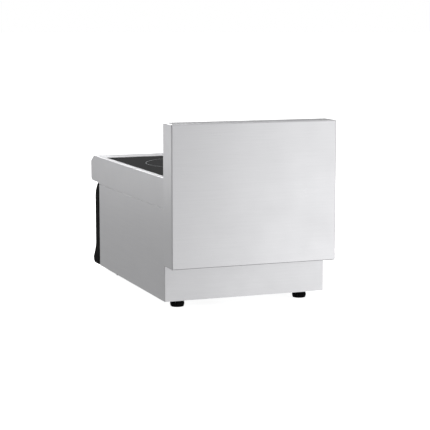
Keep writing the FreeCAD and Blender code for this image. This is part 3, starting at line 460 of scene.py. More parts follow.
def make_piece(name, parts, body, material, stands_for=None, wall=0.0, edge=0.0, crease=30,
               run=None):
    """Join parts given in millimetres, face them outwards and set the piece on its body.

    stands_for is the CAD node that it replaces. run is a UV pair per face corner, for a pattern
    that follows the piece, whose parts then share no border to weld.
    """
    points, faces, start = [], [], 0
    for part_points, part_faces in parts:
        points.append(part_points)
        faces += [[index + start for index in face] for face in part_faces]
        start += len(part_points)
    mesh = bpy.data.meshes.new(name)
    mesh.from_pydata((np.concatenate(points) * MM).tolist(), [], faces)
    if run is not None:
        mesh.uv_layers.new(name="run").uv.foreach_set("vector", np.asarray(run, np.float32).ravel())
    working = bmesh.new()
    working.from_mesh(mesh)
    if run is None:
        bmesh.ops.remove_doubles(working, verts=working.verts, dist=WELD)
    bmesh.ops.recalc_face_normals(working, faces=working.faces)
    working.to_mesh(mesh)
    working.free()
    piece = bpy.data.objects.new(name, mesh)
    bpy.context.scene.collection.objects.link(piece)
    if wall:
        skin = piece.modifiers.new("wall", "SOLIDIFY")
        skin.thickness, skin.offset, skin.use_even_offset = wall * MM, -1, True
    if edge:
        bevel = piece.modifiers.new("edge", "BEVEL")
        bevel.width, bevel.segments, bevel.limit_method = edge * MM, 2, "ANGLE"
        bevel.angle_limit = SHARP_EDGE
    if wall or edge:
        mesh = baked(piece)
        piece.modifiers.clear()
        piece.data = mesh
        mesh.name = name
    mesh.polygons.foreach_set("use_smooth", np.ones(len(mesh.polygons), bool))
    mesh.set_sharp_from_angle(angle=math.radians(crease))
    piece.modifiers.new("flat faces keep their normals", "WEIGHTED_NORMAL").keep_sharp = True
    mesh.materials.append(material)
    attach(piece, body)
    if stands_for:
        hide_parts(stands_for)
    print(f"{name}: {len(mesh.polygons)} faces on {body}")
    return piece


print("pieces weld points closer than", WELD / MM, "mm")

# %% Sizes of CAD nodes
def box_mm(node):
    """Lowest and highest corner of a CAD node, in millimetres."""
    low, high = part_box(node)
    return np.array(low) / MM, np.array(high) / MM


def round_part(node, axis):
    """Middle of a round node's rear face (axis 1) or lower face (axis 2), its radius and length."""
    low, high = box_mm(node)
    start = (low + high) / 2
    start[axis] = high[1] if axis == 1 else low[2]
    return start, (high[0] - low[0]) / 2, high[axis] - low[axis]


print("the hob top spans", [corner.round(1).tolist() for corner in box_mm("hob_top")], "mm")

# %% [markdown]
# ## Outlines with bends
# Folded and moulded parts have no sharp corners. A corner of radius r, between two straight runs
# that meet at an angle, starts r / tan(half the angle) before the corner, and its arc is centred on
# the bisector. Going round the arc by equal angles gives even facets.

# %% Round the corners of an outline
def bend(before, corner, after, radius, steps=6):
    """Points of the arc that replaces a corner, tangent to the runs on both sides."""
    to_before, to_after = before - corner, after - corner
    to_before, to_after = to_before / np.linalg.norm(to_before), to_after / np.linalg.norm(to_after)
    between = math.acos(np.clip(to_before @ to_after, -1, 1))
    bisector = (to_before + to_after) / np.linalg.norm(to_before + to_after)
    centre = corner + bisector * radius / math.sin(between / 2)
    reach = radius / math.tan(between / 2)
    start, end = corner + to_before * reach - centre, corner + to_after * reach - centre
    turn = math.pi - between
    share = np.linspace(0, 1, steps + 1)[:, None]
    arc = start * np.sin((1 - share) * turn) + end * np.sin(share * turn)
    return centre + arc / math.sin(turn)


def rounded(corners, radii, closed=True, steps=6):
    """An outline whose corners are replaced by arcs; radius 0 keeps a corner."""
    corners = [np.array(corner, float) for corner in corners]
    count, points = len(corners), []
    for i, (corner, radius) in enumerate(zip(corners, radii)):
        if radius and (closed or 0 < i < count - 1):
            points.extend(bend(corners[i - 1], corner, corners[(i + 1) % count], radius, steps))
        else:
            points.append(corner)
    return np.array(points)


right_angle = [np.array(corner, float) for corner in ((0, 50), (0, 0), (50, 0))]
print("a 10 mm corner has", len(bend(*right_angle, 10)), "points")

# %% Outlines put in space
def placed(outline, level, axes):
    """A 2D outline put in space: axes names the two it lies in, level its place on the third."""
    first, second = ("XYZ".index(letter) for letter in axes)
    points = np.full((len(outline), 3), float(level))
    points[:, first], points[:, second] = outline[:, 0], outline[:, 1]
    return points


def extruded(outline, low, high, axes):
    """A closed outline carried along the third axis from low to high, with both ends filled."""
    ends = [placed(outline, level, axes) for level in (low, high)]
    return [grid(np.stack(ends), close_columns=True), face_of(ends[0]), face_of(ends[1])]


def offset_inwards(outline, distance, closed):
    """Each point moved to the left of the outline's direction, by distance to both its runs."""
    ahead = np.roll(outline, -1, 0) - outline
    ahead /= np.maximum(np.linalg.norm(ahead, axis=1, keepdims=True), 1e-9)
    left = np.stack([-ahead[:, 1], ahead[:, 0]], 1)
    if not closed:
        left[-1] = left[-2]
    left_before = np.roll(left, 1, 0)
    if not closed:
        left_before[0] = left[0]
    middle_way = left + left_before
    middle_way /= np.linalg.norm(middle_way, axis=1, keepdims=True)
    share = np.sum(middle_way * left, 1, keepdims=True)
    return outline + middle_way * distance / np.maximum(share, 0.3)


unit_square = np.array([(0, 0), (1, 0), (1, 1), (0, 1)])
print("a square's outline makes", len(extruded(unit_square, 0, 1, "XY")), "parts of a box")

# %% [markdown]
# ## The rear splash box
# Behind the hob stands a tall box of folded sheet: one rear panel with its top and both sides bent
# forward. It could be a cube with a Bevel modifier, but here its skin is worked out directly. A
# point q of the sharp box has a core point c, which is q held inside the box shrunk by the bend
# radius r. The skin's point is c + r (q - c) / |q - c|: it leaves flat faces flat, and gives round
# folds and ball corners. The front stays open, and at the bottom the walls only turn in by half a
# fold, because other sheets close both.

# %% Rear cover of the splash box
FOLD_MM = 2.8
COVER_WALL_MM = 1.2


def fold_steps(low, high, radius, steps=5):
    """Places between low and high that give equal angles on the folds at both ends."""
    near = radius * (1 - np.tan(np.linspace(math.pi / 4, 0, steps + 1)))
    flat = np.linspace(low + radius, high - radius, 6)[1:-1]
    return np.concatenate([low + near, flat, high - near[::-1]])


def folded_box(low, high, radius, cut_square, left_open):
    """Skin of a box with round folds: c + r (q - c) / |q - c|.

    Both lists hold (axis, side) pairs: a side of left_open has no face, and one of cut_square has
    no fold round its border either.
    """
    core_low, core_high = low + radius, high - radius
    for axis, side in cut_square:
        (core_high if side else core_low)[axis] = (high if side else low)[axis]
    parts = []
    for axis in range(3):
        across, along = (k for k in range(3) if k != axis)
        steps = [fold_steps(low[k], high[k], radius) for k in (across, along)]
        for side in (0, 1):
            if (axis, side) in left_open:
                continue
            q = np.empty((len(steps[0]), len(steps[1]), 3))
            q[..., across], q[..., along] = np.meshgrid(*steps, indexing="ij")
            q[..., axis] = (high if side else low)[axis]
            core = np.clip(q, core_low, core_high)
            away = q - core
            parts.append(grid(core + radius * away / np.linalg.norm(away, axis=2, keepdims=True)))
    return parts


cover_low, cover_high = box_mm("splash_rear_cover")
FRONT, UNDERSIDE = (1, 0), (2, 0)
cover_skin = folded_box(cover_low, cover_high, FOLD_MM, [FRONT], [FRONT, UNDERSIDE])
make_piece("splash_box_cover", cover_skin, "chassis", COVER_STEEL,
           "splash_rear_cover", wall=COVER_WALL_MM, edge=0.25)

# %% [markdown]
# ## The side panels
# Each side is one sheet: an outer skin and a return flange at the front, which stiffens it and
# takes the fascia's screws. Seen from above it is an L, so its outline is drawn once, with the bend
# radius outside and the bend radius less the sheet inside, and carried up from the underside to the
# seam. There the sheet folds inwards to a flange under the deck, and the round fold draws a fine
# line of light along the seam. The left panel is the right one mirrored in X.

# %% Side panels
SHEET_MM = 1.2
FRONT_BEND_MM = 9.0
TOP_FOLD_MM = 1.6
TOP_FLANGE_MM = 20.0
FLANGE_FRONT_MM, FLANGE_REAR_MM = 10, 2.6


def side_panel(side):
    """The L goes up, and at angle a of the fold it is in by r (1 - cos a) and up by r sin a.

    side is +1 for the right panel and -1 for the left one.
    """
    low, high = box_mm("side_panel_right")
    outer, inner, front, rear = high[0], high[0] - SHEET_MM, low[1], high[1]
    shape = rounded([(outer, rear), (inner, rear), (inner, front + SHEET_MM),
                     (low[0], front + SHEET_MM), (low[0], front), (outer, front)],
                    [SHEET_MM - 0.05, 0, FRONT_BEND_MM - SHEET_MM, 0, 0, FRONT_BEND_MM], steps=10)
    angle = np.linspace(0, np.pi / 2, 7)
    inwards = np.append(0, TOP_FOLD_MM * (1 - np.cos(angle)))
    heights = np.append(low[2], high[2] - TOP_FOLD_MM * (1 - np.sin(angle)))
    rings = np.stack([placed(shape - [x, 0], z, "XY") for x, z in zip(inwards, heights)])
    free_end, fold_end = inner - TOP_FLANGE_MM, inner - 0.25
    flange_front, flange_rear = front + FLANGE_FRONT_MM, rear - FLANGE_REAR_MM
    under = np.array([(free_end, flange_front), (fold_end, flange_front),
                      (fold_end, flange_rear), (free_end, flange_rear)])
    parts = [grid(rings, close_columns=True), face_of(rings[0]), face_of(rings[-1])]
    parts += extruded(under, high[2] - SHEET_MM, high[2] - 0.02, "XY")
    return [(points * (side, 1, 1), faces) for points, faces in parts]


for side, name in ((1, "right"), (-1, "left")):
    make_piece(f"side_skin_{name}", side_panel(side), "chassis", STEEL_Y,
               f"side_panel_{name}", edge=0.5)

# %% [markdown]
# ## The hob top
# The top is one pressing: skirts all round, a rolled front edge, round rims and a window for the
# glass. Its side view is one outline, from the rear skirt over the top, round the nose and back
# underneath. That outline is carried across the width. At both ends the rim is a quarter circle: at
# angle a the outline moves in by r (1 - cos a) and out by r sin a, and a flat face closes it. The
# flat top around the window is a ring between a rectangle and the window's rounded rectangle.

# %% Outline of the hob top, seen from the side
RIM_MM = 1.8
TOP_WALL_MM = 2.0
NOSE_LENGTH_MM, SLOPE_FALL_MM, SHOULDER_FALL_MM = 31, 16.3, 21.3
CHIN_MM, CHIN_RISE_MM, HEM_MM = 10, 6, 3.4

top_low, top_high = box_mm("hob_top")
panel_low = box_mm("side_panel_right")[0]
fascia_low, fascia_high = box_mm("control_fascia")
crown, back = top_high[2], top_high[1]
skirt, nose = top_low[2], top_low[1]
roll_under = skirt + HEM_MM
hob_outline = rounded(
    [(back, skirt), (back, crown), (nose + NOSE_LENGTH_MM, crown),
     (nose + 1.4, crown - SLOPE_FALL_MM), (nose, crown - SHOULDER_FALL_MM),
     (nose, roll_under + CHIN_RISE_MM), (nose + CHIN_MM, roll_under),
     (panel_low[1], roll_under), (panel_low[1], skirt)],
    [0, 4, 14, 7, 4, 4, 4, 0, 0], closed=False, steps=8)
longest = int(np.argmax(np.linalg.norm(np.diff(hob_outline, axis=0), axis=1)))
print("hob outline:", len(hob_outline), "points; its flat top runs from",
      hob_outline[longest].round(1).tolist(), "to", hob_outline[longest + 1].round(1).tolist())

# %% Hob top surface
seal_low, seal_high = box_mm("glass_seal")
WINDOW_CORNER_MM = 8.0


def rim(outline, level, side, radius, steps=6):
    """Quarter-round border at one end of a carried outline, and the flat face that closes it."""
    angles = np.linspace(0, math.pi / 2, steps + 1)
    rows = [placed(offset_inwards(outline, radius * (1 - math.cos(a)), False),
                   level + side * radius * math.sin(a), "YZ") for a in angles]
    return [grid(np.stack(rows)), face_of(rows[-1])]


def window_ring(xs, ys, window_low, window_high, corner, level):
    """Flat ring from the rectangle of xs and ys to the same loop held to the window's rectangle.

    The window's corners are rounded by the core rule of the splash box.
    """
    loop = np.concatenate([np.stack([xs[:-1], np.full(len(xs) - 1, ys[0])], 1),
                           np.stack([np.full(len(ys) - 1, xs[-1]), ys[:-1]], 1),
                           np.stack([xs[:0:-1], np.full(len(xs) - 1, ys[-1])], 1),
                           np.stack([np.full(len(ys) - 1, xs[0]), ys[:0:-1]], 1)])
    sharp = np.clip(loop, window_low, window_high)
    core = np.clip(sharp, window_low + corner, window_high - corner)
    away = sharp - core
    inner = core + corner * away / np.maximum(np.linalg.norm(away, axis=1, keepdims=True), 1e-9)
    loops = [placed(loop, level, "XY"), placed(inner, level, "XY")]
    return grid(np.stack(loops), close_columns=True)


def hob_top():
    half = top_high[0] - RIM_MM
    xs = fold_steps(seal_low[0], seal_high[0], WINDOW_CORNER_MM)
    ys = fold_steps(seal_low[1], seal_high[1], WINDOW_CORNER_MM)
    xs[0], xs[-1] = -half, half
    ys[0], ys[-1] = hob_outline[longest + 1][0], hob_outline[longest][0]
    behind, ahead = hob_outline[:longest + 1], hob_outline[longest + 1:]
    flat = np.stack([ys[-2:0:-1], np.full(len(ys) - 2, crown)], 1)
    whole = np.concatenate([behind, flat, ahead])
    parts = [grid(np.stack([placed(strip, x, "YZ") for x in xs])) for strip in (behind, ahead)]
    parts.append(window_ring(xs, ys, seal_low[:2], seal_high[:2], WINDOW_CORNER_MM, crown))
    for side in (-1, 1):
        parts += rim(whole, side * half, side, RIM_MM)
    return parts


make_piece("hob_top_pressing", hob_top(), "chassis", STEEL_X, "hob_top",
           wall=TOP_WALL_MM)

# %% [markdown]
# ## The control fascia and its end caps
# The fascia is a black coated sheet with a soft profile: it leans back at the top, runs straight
# past the knob and flares out to a lip at the bottom. Its two ends are moulded caps with the same
# profile and a rounded outer edge. Both are the same outline, with generous bends, carried across
# the front; the cap's ends use the quarter-round rim again.

# %% Fascia profile
FASCIA_WALL_MM, CAP_RIM_MM = 1.5, 1.0
front_face = fascia_low[1] + 26.8
lip, foot, head = fascia_low[1] - 0.5, fascia_low[2], fascia_high[2]
fascia_outline = rounded(
    [(fascia_high[1], head), (panel_low[1] - 6.5, head), (front_face + 14.7, head - 12),
     (front_face + 2.7, head - 27), (front_face, head - 40), (front_face, foot + 54),
     (front_face - 14.3, foot + 30.5), (lip, foot + 14), (lip + 5, foot + 5), (lip + 11, foot),
     (fascia_high[1], foot)],
    [0, 4, 20, 25, 30, 40, 30, 3, 6, 4, 0], closed=False, steps=6)[::-1]


fascia_ends = [placed(fascia_outline, level, "YZ") for level in (fascia_low[0], fascia_high[0])]


def end_cap(node):
    """The outline carried along X, a quarter-round rim at both ends, and a flat rear."""
    low, high = box_mm(node)
    levels = (low[0] + CAP_RIM_MM, high[0] - CAP_RIM_MM)
    ends = np.stack([placed(fascia_outline, level, "YZ") for level in levels])
    parts = [grid(ends)]
    for side, level in zip((-1, 1), levels):
        parts += rim(fascia_outline, level, side, CAP_RIM_MM)
    return parts + [grid(ends[:, [0, -1]])]


make_piece("fascia_skin", [grid(np.stack(fascia_ends))], "chassis", POWDER_COAT,
           "control_fascia", wall=FASCIA_WALL_MM, edge=0.2)
for name in ("left", "right"):
    make_piece(f"fascia_cap_{name}", end_cap(f"fascia_end_cap_{name}"), "chassis", ABS,
               f"fascia_end_cap_{name}")

# %% [markdown]
# ## Turned and fluted pieces
# Knob, feet, lamps, dial and fan hub are all turned: a profile of radius and height goes round an
# axis. Flutes are cut where a round cutter of radius c, held at distance d from the axis, would
# bite. On a ray at angle t from the cutter's middle the material ends at
# d cos t - sqrt(c*c - d*d sin(t)**2), so the surface is the smaller of that and the profile.

# %% Turn a profile
def fluted(angle, count, distance, cutter):
    """Radius left by count round cutters, evenly spaced, the first at angle 0."""
    pitch = 2 * math.pi / count
    from_cutter = (angle / pitch + 0.5) % 1 * pitch - pitch / 2
    inside = cutter ** 2 - (distance * np.sin(from_cutter)) ** 2
    end = distance * np.cos(from_cutter) - np.sqrt(np.maximum(inside, 0))
    return np.where(inside > 0, end, math.inf)


def turned(profile, centre, axis, count=96, limit=None, below=math.inf, closed=False):
    """Turn (radius, height) pairs about an axis through centre.

    Under the height below, the radius is held to limit, which gives a radius per angle.
    """
    angle = np.linspace(0, 2 * math.pi, count, endpoint=False)
    radius = np.repeat(profile[:, :1], count, 1)
    height = np.repeat(profile[:, 1:], count, 1)
    if limit is not None:
        radius = np.where(height < below, np.minimum(radius, limit(angle)), radius)
    first, second = ((0, 1) if axis == 2 else (0, 2))
    points = np.empty((len(profile), count, 3))
    points[..., first] = centre[first] + radius * np.cos(angle)
    points[..., second] = centre[second] + radius * np.sin(angle)
    points[..., axis] = centre[axis] + height
    return grid(points, close_rows=closed, close_columns=True)


# %% Knob and its pointer
KNOB_FLUTES, FLUTE_DISTANCE_MM, FLUTE_CUTTER_MM = 12, 28.8, 4.0
BORE_DEPTH_MM, KNOB_BASE_MM, GRIP_START_MM = 17, 4, 6.9
POINTER_HALF_MM, POINTER_START_MM = 1.1, 9
knob_back, knob_radius, knob_length = round_part("knob", 1)
bore = round_part("knob_shaft", 1)[1] + 0.05
knob_profile = rounded(
    [(0, -BORE_DEPTH_MM), (bore, -BORE_DEPTH_MM), (bore, 0), (knob_radius, 0),
     (knob_radius, -KNOB_BASE_MM), (knob_radius - 3.5, -6.5), (knob_radius - 5, -knob_length),
     (knob_radius - 8, -knob_length), (0, -knob_length + 0.5)],
    [0, 0, 0, 0.6, 1.2, 1.6, 2.2, 0, 0], closed=False, steps=5)


def knob_flutes(angle):
    """Flutes half a pitch off the horizontal, so that none meets the pointer."""
    return fluted(angle - math.pi / KNOB_FLUTES, KNOB_FLUTES, FLUTE_DISTANCE_MM, FLUTE_CUTTER_MM)


knob_part = turned(knob_profile, knob_back, 1, count=288, limit=knob_flutes, below=-GRIP_START_MM)
make_piece("knob_body", [knob_part], "knob", PHENOLIC, "knob", crease=40)
tip, knob_face = knob_radius - 6.2, knob_back[1] - knob_length
pointer = rounded([(-POINTER_HALF_MM, POINTER_START_MM), (POINTER_HALF_MM, POINTER_START_MM),
                   (POINTER_HALF_MM, tip), (-POINTER_HALF_MM, tip)], [1, 1, 1, 1], steps=4)
pointer_parts = extruded(pointer + knob_back[[0, 2]], knob_face - 0.02, knob_face + 1.0, "XZ")
make_piece("knob_pointer", pointer_parts, "knob", WHITE_PRINT)
print("twelve flutes leave a radius of", knob_flutes(np.array([math.pi / 12]))[0].round(1), "mm")

# %% [markdown]
# ## The dial ring
# A turned aluminium disc with a chamfered rim lies flat on the fascia. Its scale is pad printed:
# eleven ticks over 300 degrees and the numbers 0 to 10, which are plain numerals of the kind that
# any control has. Numerals are text objects, made into meshes, turned upright, and joined with the
# ticks into one piece, a tenth of a millimetre thick.

# %% Dial ring and its scale
STEPS_ON_DIAL, DIAL_SWEEP = 10, math.radians(300)
PRINT_THICK_MM = 0.12
TICK_START_MM, TICK_END_MM, TICK_HALF_MM = 32, 34.5, 0.35
NUMERAL_PLACE_MM, NUMERAL_MM = 39.4, 6.2
ring_back, ring_radius, ring_thick = round_part("dial_ring", 1)
ring_profile = rounded([(6, 0), (ring_radius, 0), (ring_radius, -ring_thick), (6, -ring_thick)],
                       [0, 0.3, 0.8, 0.2], steps=4)
make_piece("dial_plate", [turned(ring_profile, ring_back, 1, count=180, closed=True)], "chassis",
           TURNED, "dial_ring")


def numeral(text, size):
    """Points in millimetres and faces of a flat number, centred on its own origin, facing +Z."""
    curve = bpy.data.curves.new("numeral", "FONT")
    curve.body, curve.size, curve.extrude = text, size, PRINT_THICK_MM / 2
    curve.align_x, curve.align_y, curve.resolution_u = "CENTER", "CENTER", 4
    holder = bpy.data.objects.new("numeral", curve)
    bpy.context.scene.collection.objects.link(holder)
    mesh = baked(holder)
    points = np.array([vertex.co for vertex in mesh.vertices])
    faces = [list(polygon.vertices) for polygon in mesh.polygons]
    bpy.data.objects.remove(holder)
    bpy.data.meshes.remove(mesh)
    bpy.data.curves.remove(curve)
    return points, faces


def dial_scale():
    """Ticks and numerals round the dial; (x, y, z) turns upright to (x, -z, y)."""
    face_y = ring_back[1] - ring_thick
    reach = (TICK_START_MM, TICK_START_MM, TICK_END_MM, TICK_END_MM)
    sideways = (-TICK_HALF_MM, TICK_HALF_MM, TICK_HALF_MM, -TICK_HALF_MM)
    parts = []
    for step in range(STEPS_ON_DIAL + 1):
        angle = DIAL_SWEEP * step / STEPS_ON_DIAL
        out = np.array([math.sin(angle), math.cos(angle)])
        across = np.array([out[1], -out[0]])
        tick = ring_back[[0, 2]] + np.outer(reach, out) + np.outer(sideways, across)
        parts += extruded(tick, face_y - PRINT_THICK_MM, face_y + 0.02, "XZ")
        points, faces = numeral(str(step), NUMERAL_MM)
        upright = np.stack([points[:, 0], -points[:, 2], points[:, 1]], 1)
        middle = ring_back[[0, 2]] + NUMERAL_PLACE_MM * out[None]
        parts.append((upright + placed(middle, face_y - PRINT_THICK_MM / 2, "XZ"), faces))
    return parts


make_piece("dial_scale", dial_scale(), "chassis", BLACK_PRINT)

# %% Lamps
LAMPS = {"power_lamp": (GREEN_LENS, "green_lens"), "heating_lamp": (AMBER_LENS, "amber_lens")}
for node, (lens, slot_name) in LAMPS.items():
    lamp_back, flange, depth = round_part(node, 1)
    lamp_profile = rounded([(0, 0), (flange - 2, 0), (flange - 2, 2 - depth), (flange, 2 - depth),
                            (flange, 0.9 - depth), (flange - 2, -depth), (0, -depth)],
                           [0, 0.4, 0, 0.3, 0.5, 3, 0], closed=False, steps=5)
    make_piece(f"{node}_lens", [turned(lamp_profile, lamp_back, 1, count=64)], "chassis",
               lens, node)

# %% [markdown]
# ## Levelling feet
# A foot is a moulded pad, widest at its waist, with twelve grip flutes that fingers turn, on a
# plated threaded stud. The pad's profile runs down its bore as well, so it is a closed ring with
# real thickness. The stud gets a rolled thread: its radius rises and falls with height along the
# axis and turns with the angle, which makes a true helix.

# %% Feet and studs
FOOT_FLUTES, FOOT_CUTTER_MM = 12, 2.6
THREAD_PITCH_MM, THREAD_DEPTH_MM, POINT_MM = 1.5, 0.45, 1.2


def foot_pad(start, wide, tall):
    """A closed profile from the bore over the neck, waist and sole, with grip flutes."""
    neck, sole, bore = wide - 4.5, wide - 1.6, 5.05
    profile = rounded(
        [(bore, 5.8), (bore, tall), (neck, tall), (wide, tall * 0.46), (wide, tall * 0.28),
         (sole, 0), (sole - 3, 0), (sole - 4, 0.8), (0, 0.8), (0, 5.8)],
        [0, 0.5, 1.5, 2.5, 2.5, 1.0, 0.3, 0.5, 0, 0], closed=False, steps=4)
    return [turned(profile, start, 2, count=240,
                   limit=lambda angle: fluted(angle, FOOT_FLUTES, wide + 1, FOOT_CUTTER_MM))]


def threaded_stud(start, radius, tall):
    """Radius r - depth (1 - w), with w a triangle wave of height / pitch - angle / full turn."""
    height = np.linspace(0, tall, int(tall / THREAD_PITCH_MM * 6))[:, None]
    angle = np.linspace(0, 2 * math.pi, 40, endpoint=False)[None, :]
    wave = np.abs((height / THREAD_PITCH_MM - angle / (2 * math.pi)) % 1 * 2 - 1)
    taper = np.minimum(np.minimum(height, tall - height) - POINT_MM, 0)
    reach = radius - THREAD_DEPTH_MM * (1 - wave) + taper
    points = np.stack([start[0] + reach * np.cos(angle), start[1] + reach * np.sin(angle),
                       start[2] + height + 0 * angle], -1)
    return [grid(points, close_columns=True), face_of(points[0]), face_of(points[-1])]


for corner in ("front_left", "front_right", "rear_left", "rear_right"):
    pad, stud = f"foot_pad_{corner}", f"foot_stud_{corner}"
    make_piece(f"levelling_foot_{corner}", foot_pad(*round_part(pad, 2)), f"foot_{corner}",
               NYLON, pad, crease=40)
    make_piece(f"levelling_stud_{corner}", threaded_stud(*round_part(stud, 2)), f"stud_{corner}",
               ZINC, stud, crease=60)

# %% [markdown]
# ## Wires and windings
# A tube is a circle carried along a path. Each ring of the tube stands square to the path: its
# first direction is a given side vector made square to the tangent, and its second is their cross
# product. The induction coil is an Archimedean spiral of litz wire, the chokes are helices wound
# round a ferrite ring, and the grease filter is woven from crimped aluminium wire.

# %% Carry a circle along a path
STRANDS, LAY_MM, WAVE_PERIOD = 9, 24.0, 2 * math.pi / 10


def tube(path, side, radius, sides, closed=False):
    """Rings at path + radius (n cos a + b sin a): n is side made square to the path, b is t x n."""
    ahead = (np.roll(path, -1, 0) - np.roll(path, 1, 0)) if closed else np.gradient(path, axis=0)
    tangent = ahead / np.linalg.norm(ahead, axis=1, keepdims=True)
    normal = side - np.sum(side * tangent, 1, keepdims=True) * tangent
    normal /= np.linalg.norm(normal, axis=1, keepdims=True)
    other = np.cross(tangent, normal)
    angle = np.linspace(0, 2 * math.pi, sides, endpoint=False)[None, :, None]
    spokes = normal[:, None] * np.cos(angle) + other[:, None] * np.sin(angle)
    rings = path[:, None] + radius * spokes
    parts = [grid(rings, close_rows=closed, close_columns=True)]
    if not closed:
        points, faces = parts[0]
        faces += [list(range(sides))[::-1], list(range(len(points) - sides, len(points)))]
    return parts


def strand_map(path, sides, closed=False):
    """Corner UVs of a tube: length along it and angle round it, in periods of the strand wave."""
    steps = np.linalg.norm(np.diff(path, axis=0, append=path[:1]), axis=1)
    length = np.concatenate([[0], np.cumsum(steps)]) / LAY_MM
    rows = len(path) if closed else len(path) - 1
    r, c = np.divmod(np.arange(rows * sides), sides)
    along = np.stack([length[r], length[r + 1], length[r + 1], length[r]], 1)
    around = np.stack([c, c, c + 1, c + 1], 1) / sides
    corners = np.stack([along, around], -1).reshape(-1, 2) * STRANDS * WAVE_PERIOD
    ends = np.zeros((0 if closed else 2 * sides, 2))
    return np.concatenate([corners, ends])


# %% Induction coil
COIL_PITCH_MM, COIL_WIRE_MM, COIL_EYE_MM = 7.0, 3.35, 26
UPWARDS = np.array([0.0, 0.0, 1.0])
coil_start, coil_radius, coil_thick = round_part("induction_coil", 2)
coil_turns = (coil_radius - COIL_EYE_MM - 2 * COIL_WIRE_MM) / COIL_PITCH_MM
turn = np.linspace(0, coil_turns, 1100)
spiral_radius = COIL_EYE_MM + COIL_WIRE_MM + COIL_PITCH_MM * turn
heading = np.stack([np.cos(2 * math.pi * turn), np.sin(2 * math.pi * turn), 0 * turn], 1)
spiral = coil_start + UPWARDS * coil_thick / 2 + spiral_radius[:, None] * heading
make_piece("litz_spiral", tube(spiral, np.tile(UPWARDS, (len(spiral), 1)), COIL_WIRE_MM, 10),
           "chassis", LITZ, "induction_coil", crease=80, run=strand_map(spiral, 10))

# %% Chokes of the mains filter
CHOKE_RADIUS_MM, CHOKE_TURNS, CHOKE_WIRE_MM = 14.0, 26, 0.8
CORE_MM, WINDING_MM, CHOKE_FROM_END_MM = 5.2, 6.1, 21
choke_low, choke_high = box_mm("filter_chokes")
out, core_out = circle(1040), circle(64)
share = CHOKE_TURNS * np.linspace(0, 2 * math.pi, len(out), endpoint=False)[:, None]
wound = out * np.cos(share) + UPWARDS * np.sin(share)
winding, winding_map, cores = [], [], []
for choke_y in (choke_low[1] + CHOKE_FROM_END_MM, choke_high[1] - CHOKE_FROM_END_MM):
    choke_centre = (choke_low + choke_high) / 2
    choke_centre[1] = choke_y
    choke_path = choke_centre + out * CHOKE_RADIUS_MM + wound * WINDING_MM
    winding += tube(choke_path, wound, CHOKE_WIRE_MM, 6, closed=True)
    winding_map.append(strand_map(choke_path, 6, closed=True))
    core_path = choke_centre + core_out * CHOKE_RADIUS_MM
    cores += tube(core_path, core_out, CORE_MM, 20, closed=True)
make_piece("choke_windings", winding, "chassis", LITZ, "filter_chokes", crease=80,
           run=np.concatenate(winding_map))
make_piece("choke_cores", cores, "chassis", FERRITE)

# %% Grease filter mesh
MESH_PITCH_MM, MESH_WIRE_MM, CRIMP_MM, LAYER_MM = 6.0, 0.55, 0.9, 2.2
mesh_low, mesh_high = box_mm("filter_mesh")


def woven_layer(height):
    """Wires both ways; each rides over and under in z = height + crimp cos(pi s / pitch + pi k)."""
    parts = []
    for along, across, sign in ((0, 1, 1), (1, 0, -1)):
        s = np.arange(mesh_low[along], mesh_high[along] + 0.1, MESH_PITCH_MM / 3)
        places = np.arange(mesh_low[across] + MESH_PITCH_MM / 2, mesh_high[across], MESH_PITCH_MM)
        for k, place in enumerate(places):
            path = np.empty((len(s), 3))
            path[:, along], path[:, across] = s, place
            from_start = (s - mesh_low[along]) / MESH_PITCH_MM - 0.5
            path[:, 2] = height + sign * CRIMP_MM * np.cos(math.pi * (from_start + k))
            parts += tube(path, np.tile(UPWARDS, (len(s), 1)), MESH_WIRE_MM, 5)
    return parts


mesh_middle = (mesh_low[2] + mesh_high[2]) / 2
weave = woven_layer(mesh_middle - LAYER_MM) + woven_layer(mesh_middle + LAYER_MM)
make_piece("filter_weave", weave, "filter", EXTRUDED, "filter_mesh", crease=80)

# %% [markdown]
# ## The fan rotor
# Seven blades grow from a cup-shaped hub. A blade is a slim, cambered section, swept from root to
# tip: at radius r its chord makes half an angle of chord / r about the axis, and climbs steeply at
# the root and gently at the tip, which is the twist that every axial fan has. The section is an
# ellipse along the chord, bowed upwards by its camber.

# %% Fan rotor
BLADES, BLADE_THICK_MM, CAMBER_MM, HUB_RADIUS_MM, HUB_BORE_MM = 7, 1.1, 2.2, 21, 2.1
rotor_low, rotor_high = box_mm("fan_rotor")
rotor_centre = round_part("fan_frame", 2)[0]
rotor_centre[2] = rotor_low[2]
rotor_tall, tip_radius = rotor_high[2] - rotor_low[2], rotor_high[0] - rotor_centre[0]


def blade(first_angle):
    """theta = first + c half_chord / r, z = middle + c climb + camber (1 - c*c) + t sin(loop).

    c is cos(loop), so it runs from 1 to -1 over the blade and back under it; t is the thickness.
    """
    reach = np.linspace(HUB_RADIUS_MM - 1.5, tip_radius, 16)[:, None]
    loop = np.linspace(0, 2 * math.pi, 28, endpoint=False)[None, :]
    c = np.cos(loop)
    share = (reach - HUB_RADIUS_MM) / (tip_radius - HUB_RADIUS_MM)
    half_chord, climb = 11 + 6 * share, 9.5 - 4.0 * share
    theta = first_angle + c * half_chord / reach
    z = rotor_tall / 2 + c * climb + CAMBER_MM * (1 - c * c) + BLADE_THICK_MM * np.sin(loop)
    points = rotor_centre + np.stack([reach * np.cos(theta), reach * np.sin(theta), z], -1)
    return [grid(points, close_columns=True), face_of(points[0]), face_of(points[-1])]


